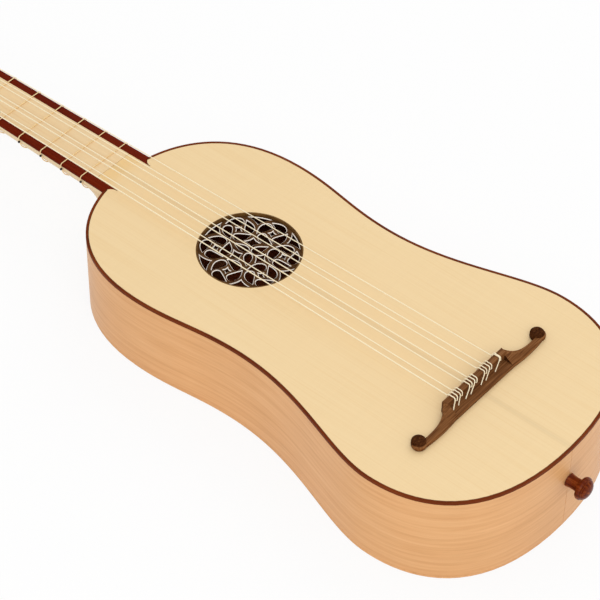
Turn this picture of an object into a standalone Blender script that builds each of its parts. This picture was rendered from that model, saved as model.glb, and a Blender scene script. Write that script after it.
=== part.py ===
# Small four-course guitar with tied gut frets, a carved rose and rear-mounted friction pegs.
# Every piece is drawn in the frame of the soundboard, in metres: X towards the treble side,
# Y from the bridge saddle to the head, Z out of the soundboard, whose top face is Z = 0.
# One parent frame then lays the whole instrument on its flat back.
import math

import bmesh
import bpy
from mathutils import Matrix, Vector

# Clearances between glued or touching pieces
GAP = 0.0003
COIL_GAP = 0.0005

# String length and tied frets, measured from the saddle line; the last fret sits close to the body
STRING_LENGTH = 0.550
FRET_COUNT = 8
FRET_RADIUS_FIRST = 0.00045
FRET_RADIUS_LAST = 0.00036
LAST_FRET_TO_BODY = 0.0223
TAIL_DISTANCE = 0.0865

# Body outline; the places are shares of the body's length from the tail
LOWER_BOUT_WIDTH = 0.2219
LOWER_BOUT_SHARE = 0.216
WAIST_WIDTH = 0.1648
WAIST_SHARE = 0.5467
UPPER_BOUT_WIDTH = 0.1833
UPPER_BOUT_SHARE = 0.774
SHOULDER_END_WIDTH = 0.0448
SHOULDER_SLOPE = math.radians(11.5)

# Body depth over everything, which grows from the neck to the tail
DEPTH_AT_NECK = 0.0668
DEPTH_AT_TAIL = 0.0811

# Plates, ribs and trim
SOUNDBOARD_THICKNESS = 0.0020
BACK_THICKNESS = 0.0022
RIB_THICKNESS = 0.0020
BINDING_WIDTH = 0.0019
LINING_WIDTH = 0.0032
LINING_HEIGHT = 0.0060
BAR_WIDTH = 0.0055
BAR_HEIGHT = 0.0130
BAR_END_HEIGHT = 0.0035
BAR_END_LENGTH = 0.0300
SOUNDBOARD_BAR_SHARES = (0.849, 0.566, 0.386)
BACK_BAR_SHARES = (0.807, 0.503, 0.186)
NECK_BLOCK_HALF_WIDTH = 0.0280
NECK_BLOCK_LENGTH = 0.0260
TAIL_BLOCK_HALF_WIDTH = 0.0240
TAIL_BLOCK_LENGTH = 0.0160

# Rose
ROSE_RADIUS = 0.0386
ROSE_SHARE = 0.702
ROSE_RECESS = 0.0003
ROSE_FOLD = 6

# Neck, heel and fingerboard
NECK_WIDTH_AT_NUT = 0.0420
NECK_WIDTH_AT_JOINT = 0.0500
NECK_DEPTH_AT_NUT = 0.0145
NECK_DEPTH_AT_HEEL = 0.0180
HEEL_LENGTH = 0.0200
HEEL_STOP_ABOVE_BACK = 0.0034
THROAT_LENGTH = 0.0200
PANEL_HALF_WIDTH_AT_NUT = 0.0152
PANEL_HALF_WIDTH_AT_JOINT = 0.0177
EDGE_ROUNDING = 0.0010
POINT_REACH = 0.0080
TONGUE_LENGTH = 0.0128
NUT_THICKNESS = 0.0040
NUT_HEIGHT = 0.0041

# Strings from treble to bass: radius, place at the nut, place at the bridge
STRING_RADII = (0.00036, 0.00038, 0.00038, 0.00041, 0.00041, 0.00038, 0.00044)
NUT_PLACES = (0.01845, 0.0096, 0.0060, -0.0026, -0.0062, -0.0148, -0.01845)
BRIDGE_PLACES = (0.0245, 0.0139, 0.0083, -0.0026, -0.0082, -0.0189, -0.0245)
TAIL_LENGTHS = (0.0070, 0.0060, 0.0060, 0.0064, 0.0064, 0.0036, 0.0036)
STRING_HEIGHT_AT_NUT = 0.0034
STRING_HEIGHT_AT_BRIDGE = 0.0090

# Bridge
TIE_BLOCK_LENGTH = 0.0646
TIE_BLOCK_WIDTH = 0.0048
TIE_BLOCK_HEIGHT = 0.0115
BRIDGE_WIDTH = 0.0125
SHELF_HALF_LENGTH = 0.0309
SHELF_HEIGHT = 0.0040
SCROLL_PLACE = 0.0663
SCROLL_SETBACK = 0.0068
SCROLL_RADIUS = 0.0053
SCROLL_HEIGHT = 0.0062
SCROLL_BASE_SHIFT = 0.0010
WING_END_HEIGHT = 0.0046
WING_END_WIDTH = 0.0042
WING_BULGE = 0.0009

# Head and pegs, in the frame of the head's tilted front face
HEAD_TILT = math.radians(7.0)
HEAD_LENGTH = 0.1440
HEAD_THICKNESS = 0.0110
HEAD_WAIST_WIDTH = 0.0496
HEAD_WIDTH = 0.0550
VENEER_THICKNESS = 0.0012
FIRST_PEG_PLACE = 0.0300
PEG_SPACING = 0.0270
PEG_OFFSETS = (0.0194, 0.0169, 0.0160, 0.0160)
PEG_ROWS = (0, 1, 2, 3, 2, 1, 0)
PEG_TURNS_AT_REST = (20.0, -35.0, 65.0, 10.0, 80.0, -15.0, 40.0)
POST_RADIUS = 0.0030
POST_HEIGHT = 0.0090
SHAFT_RADIUS_FRONT = 0.0034
SHAFT_RADIUS_BACK = 0.0039
GRIP_LENGTH = 0.0240
GRIP_HALF_WIDTH = 0.0090
GRIP_HALF_THICKNESS = 0.0030
STRING_HEIGHT_AT_PEG = 0.0019
WINDING_LOOPS = 3
WINDING_LOOP_POINTS = 12

# End button on the tail
BUTTON_DEPTH = 0.0325
BUTTON_STEM_RADIUS = 0.0048
BUTTON_STEM_LENGTH = 0.0088
BUTTON_HEAD_RADIUS = 0.0087
BUTTON_HEAD_LENGTH = 0.0084
BUTTON_SHAFT_RADIUS = 0.0030
BUTTON_SHAFT_LENGTH = 0.0150

# Values that follow from the sizes above
NECK_JOINT_DISTANCE = STRING_LENGTH / 2**(FRET_COUNT / 12) - LAST_FRET_TO_BODY
BODY_LENGTH = TAIL_DISTANCE + NECK_JOINT_DISTANCE
BACK_SLOPE = (DEPTH_AT_TAIL - DEPTH_AT_NECK) / BODY_LENGTH
DEPTH_AT_SADDLE = DEPTH_AT_TAIL - BACK_SLOPE * TAIL_DISTANCE
BACK_TILT = math.atan(BACK_SLOPE)
RIB_TOP = -(SOUNDBOARD_THICKNESS + GAP)
INNER_INSET = RIB_THICKNESS + GAP
NUT_REAR = STRING_LENGTH + NUT_THICKNESS
NECK_START = NECK_JOINT_DISTANCE + GAP
NECK_TOP = RIB_TOP
HEAD_FRONT = -(VENEER_THICKNESS + GAP)
HEAD_BACK = HEAD_FRONT - HEAD_THICKNESS


def back_height(y):
    return BACK_SLOPE * y - DEPTH_AT_SADDLE


def blend(start, end, share):
    return start + (end - start) * share


def along_body(share):
    return share * BODY_LENGTH - TAIL_DISTANCE


def peg_place(index):
    # the first three strings turn on the treble side of the head, the others on the bass side
    row = PEG_ROWS[index]
    side = 1.0 if index < 3 else -1.0
    return side * PEG_OFFSETS[row], FIRST_PEG_PLACE + PEG_SPACING * row


# Scene helpers
def clear_scene():
    for old_object in list(bpy.data.objects):
        bpy.data.objects.remove(old_object, do_unlink=True)


def make_finish(name, colour, roughness):
    finish = bpy.data.materials.new(name)
    finish.use_nodes = True
    shader = finish.node_tree.nodes["Principled BSDF"]
    shader.inputs["Base Color"].default_value = (*colour, 1.0)
    shader.inputs["Roughness"].default_value = roughness
    return finish


def make_frame(name, matrix, parent=None):
    frame = bpy.data.objects.new(name, None)
    bpy.context.collection.objects.link(frame)
    frame.parent = parent
    frame.matrix_local = matrix
    return frame


def link_object(name, data, finish, frame, place):
    piece = bpy.data.objects.new(name, data)
    bpy.context.collection.objects.link(piece)
    piece.parent = frame
    piece.location = place
    data.materials.append(finish)
    return piece


def add_solid(name, shape, finish, frame, place=(0.0, 0.0, 0.0), smooth_angle=35.0):
    bmesh.ops.recalc_face_normals(shape, faces=shape.faces)
    mesh = bpy.data.meshes.new(name)
    shape.to_mesh(mesh)
    shape.free()
    mesh.shade_smooth()
    mesh.set_sharp_from_angle(angle=math.radians(smooth_angle))
    return link_object(name, mesh, finish, frame, place)


def add_tube(name, points, radius, finish, frame, place=(0.0, 0.0, 0.0), swell=None):
    data = bpy.data.curves.new(name, "CURVE")
    data.dimensions = "3D"
    data.bevel_depth = radius
    data.bevel_resolution = 1
    data.use_fill_caps = True
    spline = data.splines.new("POLY")
    spline.points.add(len(points) - 1)
    for index, point in enumerate(points):
        spline.points[index].co = (*point, 1.0)
        spline.points[index].radius = swell[index] if swell else 1.0
    return link_object(name, data, finish, frame, place)


def cut(piece, cutter):
    cutter.hide_render = True
    cutter.display_type = "WIRE"
    boolean = piece.modifiers.new(cutter.name, "BOOLEAN")
    boolean.operation = "DIFFERENCE"
    boolean.solver = "EXACT"
    boolean.object = cutter


def join_solid(piece, addition):
    addition.hide_render = True
    addition.display_type = "WIRE"
    boolean = piece.modifiers.new(addition.name, "BOOLEAN")
    boolean.operation = "UNION"
    boolean.solver = "EXACT"
    boolean.object = addition


# Shape helpers
def bezier(start, start_handle, end_handle, end, count):
    points = []
    for step in range(count + 1):
        t = step / count
        s = 1.0 - t
        points.append(start * s**3 + start_handle * (3 * s * s * t) + end_handle * (3 * s * t * t) + end * t**3)
    return points


def bezier_direction(start, start_handle, end_handle, end, t):
    s = 1.0 - t
    first = (start_handle - start) * (3 * s * s)
    middle = (end_handle - start_handle) * (6 * s * t)
    last = (end - end_handle) * (3 * t * t)
    return (first + middle + last).normalized()


def loft(sections):
    shape = bmesh.new()
    rings = [[shape.verts.new(point) for point in section] for section in sections]
    count = len(rings[0])
    for ring, following in zip(rings, rings[1:]):
        for index in range(count):
            after = (index + 1) % count
            shape.faces.new((ring[index], ring[after], following[after], following[index]))
    shape.faces.new(reversed(rings[0]))
    shape.faces.new(rings[-1])
    return shape


def prism(outline, low, high):
    # low and high give the two faces' heights at a point of the outline
    bottom = [(x, y, low(y)) for x, y in outline]
    top = [(x, y, high(y)) for x, y in outline]
    return loft((bottom, top))


def level(height):
    return lambda y: height


def mirrored(half):
    # half runs along the treble side; the bass side follows it back
    return half + [(-x, y) for x, y in reversed(half) if x > 1e-9]


# The body's outline as a chain of curves from the tail to the neck, on the treble side
def outline_curves():
    tail = Vector((0.0, -TAIL_DISTANCE))
    lower = Vector((LOWER_BOUT_WIDTH / 2, along_body(LOWER_BOUT_SHARE)))
    waist = Vector((WAIST_WIDTH / 2, along_body(WAIST_SHARE)))
    upper = Vector((UPPER_BOUT_WIDTH / 2, along_body(UPPER_BOUT_SHARE)))
    shoulder = Vector((SHOULDER_END_WIDTH / 2, NECK_JOINT_DISTANCE))
    along_tail = Vector((0.822 * lower.x, 0.0))
    below_bout = Vector((0.0, 0.439 * (lower.y - tail.y)))
    above_bout = Vector((0.0, 0.256 * (waist.y - lower.y)))
    below_waist = Vector((0.0, 0.429 * (waist.y - lower.y)))
    above_waist = Vector((0.0, 0.411 * (upper.y - waist.y)))
    below_upper = Vector((0.0, 0.380 * (upper.y - waist.y)))
    above_upper = Vector((0.0, 0.694 * (shoulder.y - upper.y)))
    shoulder_reach = 0.450 * (upper.x - shoulder.x)
    along_shoulder = Vector((math.cos(SHOULDER_SLOPE), -math.sin(SHOULDER_SLOPE))) * shoulder_reach
    return (
        (tail, tail + along_tail, lower - below_bout, lower, 10),
        (lower, lower + above_bout, waist - below_waist, waist, 7),
        (waist, waist + above_waist, upper - below_upper, upper, 6),
        (upper, upper + above_upper, shoulder + along_shoulder, shoulder, 10),
    )


def outline_stations():
    stations = []
    for start, start_handle, end_handle, end, count in outline_curves():
        places = bezier(start, start_handle, end_handle, end, count)
        for step, place in enumerate(places):
            if step == 0 and stations:
                continue
            along = bezier_direction(start, start_handle, end_handle, end, step / count)
            stations.append((place, Vector((-along.y, along.x))))
    return stations


def trimmed_stations(tail_x, neck_x):
    # keeps the stretch that lies outside tail_x at the tail and outside neck_x at the neck
    stations = outline_stations()
    middle = len(stations) // 2
    kept = []
    for index, (place, inward) in enumerate(stations):
        limit = tail_x if index < middle else neck_x
        if place.x >= limit:
            kept.append((place, inward))
            continue
        toward = stations[index + 1] if index < middle else stations[index - 1]
        if toward[0].x > limit:
            share = (limit - place.x) / (toward[0].x - place.x)
            kept.append((place.lerp(toward[0], share), inward.lerp(toward[1], share).normalized()))
    return kept


def inset_line(stations, inset):
    return [tuple(place + inward * inset) for place, inward in stations]


def half_outline(inset):
    return inset_line(outline_stations(), inset)


def half_width_at(y, inset):
    line = half_outline(inset)
    for (x_a, y_a), (x_b, y_b) in zip(line, line[1:]):
        if y_a <= y <= y_b:
            return blend(x_a, x_b, (y - y_a) / (y_b - y_a))
    return 0.0


def band(stations, outer_inset, inner_inset, low, high, side=1.0):
    sections = []
    for (x_o, y_o), (x_i, y_i) in zip(inset_line(stations, outer_inset), inset_line(stations, inner_inset)):
        sections.append((
            (side * x_o, y_o, low(y_o)),
            (side * x_o, y_o, high(y_o)),
            (side * x_i, y_i, high(y_i)),
            (side * x_i, y_i, low(y_i)),
        ))
    return loft(sections)


# Neck and fingerboard widths, which taper evenly from the body to the nut
def neck_share(y):
    return (y - NECK_JOINT_DISTANCE) / (STRING_LENGTH - NECK_JOINT_DISTANCE)


def neck_half_width(y):
    return blend(NECK_WIDTH_AT_JOINT, NECK_WIDTH_AT_NUT, neck_share(y)) / 2


def panel_half_width(y):
    return blend(PANEL_HALF_WIDTH_AT_JOINT, PANEL_HALF_WIDTH_AT_NUT, neck_share(y))


def neck_depth(y):
    # below the glue line of the fingerboard
    plain = blend(NECK_DEPTH_AT_HEEL, NECK_DEPTH_AT_NUT, neck_share(y))
    heel_depth = DEPTH_AT_NECK - HEEL_STOP_ABOVE_BACK + NECK_TOP
    heel_share = max(0.0, (NECK_START + HEEL_LENGTH - y) / HEEL_LENGTH)
    throat_share = max(0.0, (y - NUT_REAR + THROAT_LENGTH) / THROAT_LENGTH)
    head_depth = NECK_TOP - HEAD_BACK
    with_heel = blend(plain, heel_depth, heel_share**2.2)
    return blend(with_heel, head_depth, throat_share**2)


def neck_section(y, squareness, steps=16):
    half = neck_half_width(y)
    depth = neck_depth(y)
    power = 2.0 / squareness
    points = []
    for step in range(steps + 1):
        angle = math.pi * step / steps
        across = math.copysign(abs(math.cos(angle))**power, math.cos(angle))
        points.append((half * across, NECK_TOP - depth * math.sin(angle)**power))
    return points


# Body
def build_body(frame, finishes):
    full = mirrored(half_outline(0.0))
    back_top = lambda y: back_height(y) + BACK_THICKNESS
    above_back = lambda y: back_top(y) + GAP
    lining_top = lambda y: above_back(y) + LINING_HEIGHT
    under_soundboard = level(RIB_TOP)
    add_solid("back_plate", prism(full, back_height, back_top), finishes["rib_wood"], frame)

    button_hole = add_solid("button_hole", button_shaft(BUTTON_SHAFT_RADIUS + GAP), finishes["rib_wood"], frame)
    for name, side in (("treble", 1.0), ("bass", -1.0)):
        seam_stations = trimmed_stations(GAP / 2, 0.0)
        rib = band(seam_stations, 0.0, RIB_THICKNESS, above_back, under_soundboard, side)
        rib_piece = add_solid("rib_" + name, rib, finishes["rib_wood"], frame)
        cut(rib_piece, button_hole)
        inner = INNER_INSET + LINING_WIDTH
        stations = trimmed_stations(TAIL_BLOCK_HALF_WIDTH + 0.4 * inner, NECK_BLOCK_HALF_WIDTH + 0.5 * inner)
        upper = band(stations, INNER_INSET, inner, level(RIB_TOP - LINING_HEIGHT), under_soundboard, side)
        add_solid("top_lining_" + name, upper, finishes["inner_wood"], frame)
        lower = band(stations, INNER_INSET, inner, above_back, lining_top, side)
        add_solid("back_lining_" + name, lower, finishes["inner_wood"], frame)

    inner_line = half_outline(INNER_INSET)
    tail_inside = -TAIL_DISTANCE + INNER_INSET
    tail_half = [(0.0, tail_inside)]
    tail_half += [(x, y) for x, y in inner_line[1:] if x < TAIL_BLOCK_HALF_WIDTH and y < 0.0]
    tail_half.append((TAIL_BLOCK_HALF_WIDTH, wall_at(TAIL_BLOCK_HALF_WIDTH, False)))
    tail_half.append((TAIL_BLOCK_HALF_WIDTH, tail_inside + TAIL_BLOCK_LENGTH))
    tail_block = add_solid(
        "tail_block", prism(mirrored(tail_half), above_back, under_soundboard), finishes["inner_wood"], frame)
    cut(tail_block, button_hole)

    block_rear = NECK_JOINT_DISTANCE - NECK_BLOCK_LENGTH
    block_front = NECK_JOINT_DISTANCE
    spigot = inner_line[-1][0]
    neck_half = [(NECK_BLOCK_HALF_WIDTH, block_rear), (NECK_BLOCK_HALF_WIDTH, wall_at(NECK_BLOCK_HALF_WIDTH, True))]
    neck_half += [(x, y) for x, y in inner_line if x < NECK_BLOCK_HALF_WIDTH and y > block_rear]
    neck_half.append((spigot, block_front))
    add_solid("neck_block", prism(mirrored(neck_half), above_back, under_soundboard), finishes["inner_wood"], frame)

    clear_of_lining = INNER_INSET + LINING_WIDTH + GAP
    for index, share in enumerate(SOUNDBOARD_BAR_SHARES):
        place = along_body(share)
        shape = bar_shape(place, clear_of_lining, RIB_TOP, -1.0)
        add_solid("soundboard_bar_%d" % (index + 1), shape, finishes["inner_wood"], frame)
    for index, share in enumerate(BACK_BAR_SHARES):
        place = along_body(share)
        shape = bar_shape(place, clear_of_lining, above_back(place + BAR_WIDTH / 2), 1.0)
        add_solid("back_bar_%d" % (index + 1), shape, finishes["inner_wood"], frame)


def wall_at(x, at_neck):
    # where the inner face of the rib lies at a distance x from the middle, near the neck or the tail
    line = half_outline(INNER_INSET)
    if at_neck:
        line = line[::-1]
    for (x_a, y_a), (x_b, y_b) in zip(line, line[1:]):
        if x_a <= x <= x_b:
            return blend(y_a, y_b, (x - x_a) / (x_b - x_a))
    return line[0][1]


def bar_shape(place, inset, glue_height, direction):
    edges = (place - BAR_WIDTH / 2, place + BAR_WIDTH / 2)
    reach = min(half_width_at(y, inset) for y in edges)
    low_end = glue_height + direction * BAR_END_HEIGHT
    low_middle = glue_height + direction * BAR_HEIGHT
    profile = (
        (-reach, glue_height),
        (reach, glue_height),
        (reach, low_end),
        (reach - BAR_END_LENGTH, low_middle),
        (BAR_END_LENGTH - reach, low_middle),
        (-reach, low_end),
    )
    return loft([[(x, y, z) for x, z in profile] for y in edges])


# Soundboard, binding and rose
def point_cutter(side):
    # the space of a fingerboard edge's curved point, with its clearance
    inner = panel_half_width(point_tip()) - GAP
    outer = neck_half_width(point_tip())
    radius = outer - panel_half_width(point_tip()) - GAP
    tip = point_tip()
    outline = [(inner, tip - GAP), (inner + 2 * GAP, tip - GAP)]
    for step in range(9):
        angle = math.pi / 2 * step / 8
        outline.append((outer - radius * math.cos(angle), tip + radius * math.sin(angle)))
    outline.append((outer + 3 * GAP, tip + radius))
    outline.append((outer + 3 * GAP, NECK_JOINT_DISTANCE + TONGUE_LENGTH + 2 * GAP))
    upper = NECK_JOINT_DISTANCE + TONGUE_LENGTH + 2 * GAP
    outline.append((panel_half_width(upper) - GAP, upper))
    side_outline = [(side * x, y) for x, y in outline]
    return prism(side_outline, level(-2 * SOUNDBOARD_THICKNESS), level(SOUNDBOARD_THICKNESS))


def point_tip():
    return NECK_JOINT_DISTANCE - POINT_REACH


def build_soundboard(frame, finishes):
    edge = half_outline(BINDING_WIDTH + GAP)
    tongue_end = NECK_JOINT_DISTANCE + TONGUE_LENGTH
    half = edge + [(panel_half_width(edge[-1][1]) - GAP, edge[-1][1]), (panel_half_width(tongue_end) - GAP, tongue_end)]
    plate = prism(mirrored(half), level(-SOUNDBOARD_THICKNESS), level(0.0))
    soundboard = add_solid("soundboard", plate, finishes["spruce"], frame)
    hole = bmesh.new()
    bmesh.ops.create_cone(
        hole, cap_ends=True, segments=60, radius1=ROSE_RADIUS + GAP, radius2=ROSE_RADIUS + GAP,
        depth=4 * SOUNDBOARD_THICKNESS)
    hole_cutter = add_solid("rose_hole", hole, finishes["spruce"], frame, (0.0, along_body(ROSE_SHARE), 0.0))
    cut(soundboard, hole_cutter)

    stations = outline_stations()
    whole = [(Vector((-place.x, place.y)), Vector((-inward.x, inward.y))) for place, inward in reversed(stations[1:])]
    whole += stations
    trim = band(whole, 0.0, BINDING_WIDTH, level(-SOUNDBOARD_THICKNESS), level(0.0))
    binding = add_solid("top_binding", trim, finishes["binding_wood"], frame)
    for name, side in (("treble", 1.0), ("bass", -1.0)):
        cutter = add_solid("point_space_" + name, point_cutter(side), finishes["spruce"], frame)
        cut(soundboard, cutter)
        cut(binding, cutter)


def polar(radius, angle):
    return Vector((math.cos(angle), math.sin(angle))) * radius


def leaf_outline(base, heading, length, width, bend, steps=5):
    # a leaf-shaped opening: pointed at its base, round at its far end, its middle line bent by an angle
    left = []
    right = []
    for step in range(1, steps + 1):
        share = step / (steps + 0.3)
        turn = heading + bend * share
        half = width / 2 * math.sin(math.pi * share**1.6)**0.8
        middle = base + polar(length * share, turn)
        across = polar(half, turn + bend * share + math.pi / 2)
        left.append(middle + across)
        right.append(middle - across)
    tip = base + polar(length, heading + bend)
    return [base] + right + [tip] + left[::-1]


def star_outline(centre, heading, reach, waist=0.5, points=4):
    outline = []
    for corner in range(2 * points):
        radius = reach if corner % 2 == 0 else reach * waist
        outline.append(centre + polar(radius, heading + math.pi / points * corner))
    return outline


def spandrel_outline(outer, inner, start, end, middle):
    # three corners joined by an arc along the rim and two hollow sides
    corners = (polar(outer, end), polar(inner, middle), polar(outer, start))
    centre = (corners[0] + corners[1] + corners[2]) / 3
    outline = [polar(outer, blend(start, end, step / 4)) for step in range(4)]
    for first, second in zip(corners, corners[1:]):
        outline.append(first)
        outline.append(((first + second) / 2).lerp(centre, 0.35))
    return outline


def rose_openings():
    step = 2 * math.pi / ROSE_FOLD
    unit = ROSE_RADIUS / 38.6
    openings = []
    for fold in range(ROSE_FOLD // 2):
        diamond = step / 2 + 2 * step * fold
        petal = diamond + step
        openings.append(star_outline(polar(9.9 * unit, diamond), diamond, 5.3 * unit, 0.46))
        openings.append(leaf_outline(
            polar(15.6 * unit, petal + 0.02), petal + math.pi + 0.10, 11.6 * unit, 5.2 * unit, -0.24))
    for fold in range(ROSE_FOLD):
        axis = step * fold
        between = axis + step / 2
        centre = polar(25.4 * unit, axis)
        openings.append(star_outline(centre, axis + math.pi / 4, 3.1 * unit))
        for quarter in range(4):
            out = axis + math.pi / 2 * quarter
            tail = centre + polar(9.3 * unit, out) + polar(7.9 * unit, out + math.pi / 2)
            openings.append(leaf_outline(tail, out - math.pi / 2 - 0.02, 13.4 * unit, 6.4 * unit, -0.24))
        openings.append(spandrel_outline(
            36.7 * unit, 29.0 * unit, between - 0.225, between + 0.235, between + 0.02))
    return openings


def build_rose(frame, finishes):
    shape = bmesh.new()
    loops = [[polar(ROSE_RADIUS, 2 * math.pi * step / 60) for step in range(60)]]
    loops += rose_openings()
    for loop in loops:
        corners = [shape.verts.new((point.x, point.y, 0.0)) for point in loop]
        for index, corner in enumerate(corners):
            shape.edges.new((corner, corners[(index + 1) % len(corners)]))
    bmesh.ops.triangle_fill(shape, use_beauty=True, use_dissolve=False, edges=shape.edges[:])
    thickness = SOUNDBOARD_THICKNESS - ROSE_RECESS
    raised = bmesh.ops.extrude_face_region(shape, geom=shape.faces[:])
    top = [part for part in raised["geom"] if isinstance(part, bmesh.types.BMVert)]
    bmesh.ops.translate(shape, verts=top, vec=(0.0, 0.0, thickness))
    add_solid("rose", shape, finishes["rose_wood"], frame, (0.0, along_body(ROSE_SHARE), -SOUNDBOARD_THICKNESS))


# Neck, fingerboard and nut
def build_neck(frame, finishes):
    plain_end = NUT_REAR - THROAT_LENGTH
    heel_end = NECK_START + HEEL_LENGTH
    places = [NECK_START + HEEL_LENGTH * share for share in (0.0, 0.12, 0.26, 0.42, 0.62, 0.82)]
    places += [heel_end, plain_end]
    sections = []
    for y in places:
        sections.append([(x, y, z) for x, z in neck_section(y, 2.0)])
    for share in (0.35, 0.7, 1.0):
        y = blend(plain_end, NUT_REAR, share)
        lean = math.tan(HEAD_TILT) * share
        sections.append([(x, y + z * lean, z) for x, z in neck_section(y, blend(2.0, 4.5, share))])
    add_solid("neck", loft(sections), finishes["neck_wood"], frame)

    low = level(-SOUNDBOARD_THICKNESS)
    start = NECK_JOINT_DISTANCE + TONGUE_LENGTH + GAP
    end = STRING_LENGTH - GAP
    half = [(panel_half_width(start) - GAP, start), (panel_half_width(end) - GAP, end)]
    add_solid("fingerboard", prism(mirrored(half), low, level(0.0)), finishes["neck_wood"], frame)
    for name, side in (("treble", 1.0), ("bass", -1.0)):
        add_solid("fingerboard_edge_" + name, edge_shape(side), finishes["edge_wood"], frame)

    nut_half = neck_half_width(STRING_LENGTH) - GAP
    nut_line = [(nut_half, STRING_LENGTH), (nut_half, NUT_REAR)]
    nut_shape = prism(mirrored(nut_line), low, level(NUT_HEIGHT))
    nut = add_solid("nut", nut_shape, finishes["bone"], frame)
    for index, place in enumerate(NUT_PLACES):
        half_slot = STRING_RADII[index] + GAP
        slot_floor = STRING_HEIGHT_AT_NUT - half_slot
        slot_line = [(place - half_slot, STRING_LENGTH - 2 * GAP), (place + half_slot, STRING_LENGTH - 2 * GAP)]
        slot_line += [(place + half_slot, NUT_REAR + 2 * GAP), (place - half_slot, NUT_REAR + 2 * GAP)]
        slot = prism(slot_line, level(slot_floor), level(2 * NUT_HEIGHT))
        cut(nut, add_solid("nut_slot_%d" % (index + 1), slot, finishes["bone"], frame))


def edge_shape(side):
    tip = point_tip()
    outer_at_tip = neck_half_width(tip)
    radius = outer_at_tip - panel_half_width(tip)
    stretches = [(STRING_LENGTH - GAP, neck_half_width(STRING_LENGTH - GAP))]
    stretches.append((tip + radius + 0.001, neck_half_width(tip + radius + 0.001)))
    for step in range(8, 0, -1):
        angle = math.pi / 2 * step / 8
        stretches.append((tip + radius * math.sin(angle), outer_at_tip - radius * math.cos(angle)))
    stretches.append((tip, panel_half_width(tip) + GAP / 2))
    sections = []
    for y, outer in stretches:
        inner = panel_half_width(y)
        rounding = min(EDGE_ROUNDING, (outer - inner) / 3)
        low = -SOUNDBOARD_THICKNESS
        profile = (
            (inner, low),
            (outer, low),
            (outer, -rounding),
            (outer - 0.3 * rounding, -0.3 * rounding),
            (outer - rounding, 0.0),
            (inner, 0.0),
        )
        sections.append([(side * x, y, z) for x, z in profile])
    return loft(sections)


# Bridge
def build_bridge(frame, finishes):
    block = TIE_BLOCK_LENGTH / 2
    wing_end = SCROLL_PLACE - 0.3 * SCROLL_RADIUS
    rear_at_scroll = -SCROLL_SETBACK - 0.87 * SCROLL_BASE_SHIFT - 0.92 * SCROLL_RADIUS
    front_at_scroll = rear_at_scroll + WING_END_WIDTH
    halves = [(block, 0.0, -BRIDGE_WIDTH, TIE_BLOCK_HEIGHT)]
    for share in (0.05, 0.12, 0.24, 0.42, 0.66, 1.0):
        x = blend(block, wing_end, share)
        fall = 1.0 - (1.0 - share)**4.2
        halves.append((
            x,
            blend(0.0, front_at_scroll, fall),
            blend(-BRIDGE_WIDTH, rear_at_scroll, share) - WING_BULGE * math.sin(math.pi * share),
            blend(TIE_BLOCK_HEIGHT, WING_END_HEIGHT, fall),
        ))
    stations = [(-x, front, rear, top) for x, front, rear, top in reversed(halves)] + halves
    sections = []
    for x, front, rear, top in stations:
        shoulder = min(0.0012, (front - rear) / 4)
        profile = (
            (front, GAP),
            (front, top - shoulder),
            (front - 0.3 * shoulder, top - 0.3 * shoulder),
            (front - shoulder, top),
            (rear + shoulder, top),
            (rear, top - shoulder),
            (rear, GAP),
        )
        sections.append([(x, y, z) for y, z in profile])
    bridge = add_solid("bridge", loft(sections), finishes["bridge_wood"], frame)

    shelf = bmesh.new()
    bmesh.ops.create_cube(shelf, size=1.0)
    shelf_rear = BRIDGE_WIDTH + 0.002
    bmesh.ops.scale(shelf, verts=shelf.verts, vec=(
        2 * SHELF_HALF_LENGTH, shelf_rear - TIE_BLOCK_WIDTH, TIE_BLOCK_HEIGHT))
    shelf_place = (0.0, -(shelf_rear + TIE_BLOCK_WIDTH) / 2, SHELF_HEIGHT + TIE_BLOCK_HEIGHT / 2)
    cut(bridge, add_solid("shelf_space", shelf, finishes["bridge_wood"], frame, shelf_place))
    for index, place in enumerate(BRIDGE_PLACES):
        hole = bmesh.new()
        hole_radius = (STRING_RADII[index] + GAP) * 1.05
        bmesh.ops.create_cone(
            hole, cap_ends=True, segments=10, radius1=hole_radius, radius2=hole_radius, depth=4 * TIE_BLOCK_WIDTH,
            matrix=Matrix.Rotation(math.pi / 2, 4, "X"))
        hole_place = (place, -TIE_BLOCK_WIDTH / 2, STRING_HEIGHT_AT_BRIDGE)
        cut(bridge, add_solid("string_hole_%d" % (index + 1), hole, finishes["bridge_wood"], frame, hole_place))
    for name, side in (("treble", 1.0), ("bass", -1.0)):
        scroll_place = Vector((side * SCROLL_PLACE, -SCROLL_SETBACK, 0.0))
        scroll = add_solid(
            "scroll_" + name, scroll_shape(SCROLL_HEIGHT), finishes["bridge_wood"], frame, scroll_place)
        join_solid(bridge, scroll)
        shift = Vector((side * 0.5, -math.sqrt(0.75), 0.0)) * SCROLL_BASE_SHIFT
        base = add_solid(
            "scroll_base_" + name, scroll_shape(WING_END_HEIGHT), finishes["bridge_wood"], frame, scroll_place + shift)
        join_solid(bridge, base)


def scroll_shape(height):
    radius = SCROLL_RADIUS
    profile = (
        (0.0, GAP),
        (0.92 * radius, GAP),
        (radius, 0.3 * height),
        (radius, 0.7 * height),
        (0.82 * radius, 0.93 * height),
        (0.5 * radius, height),
        (0.0, height),
    )
    return turned(profile, 20, "Z")


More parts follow.
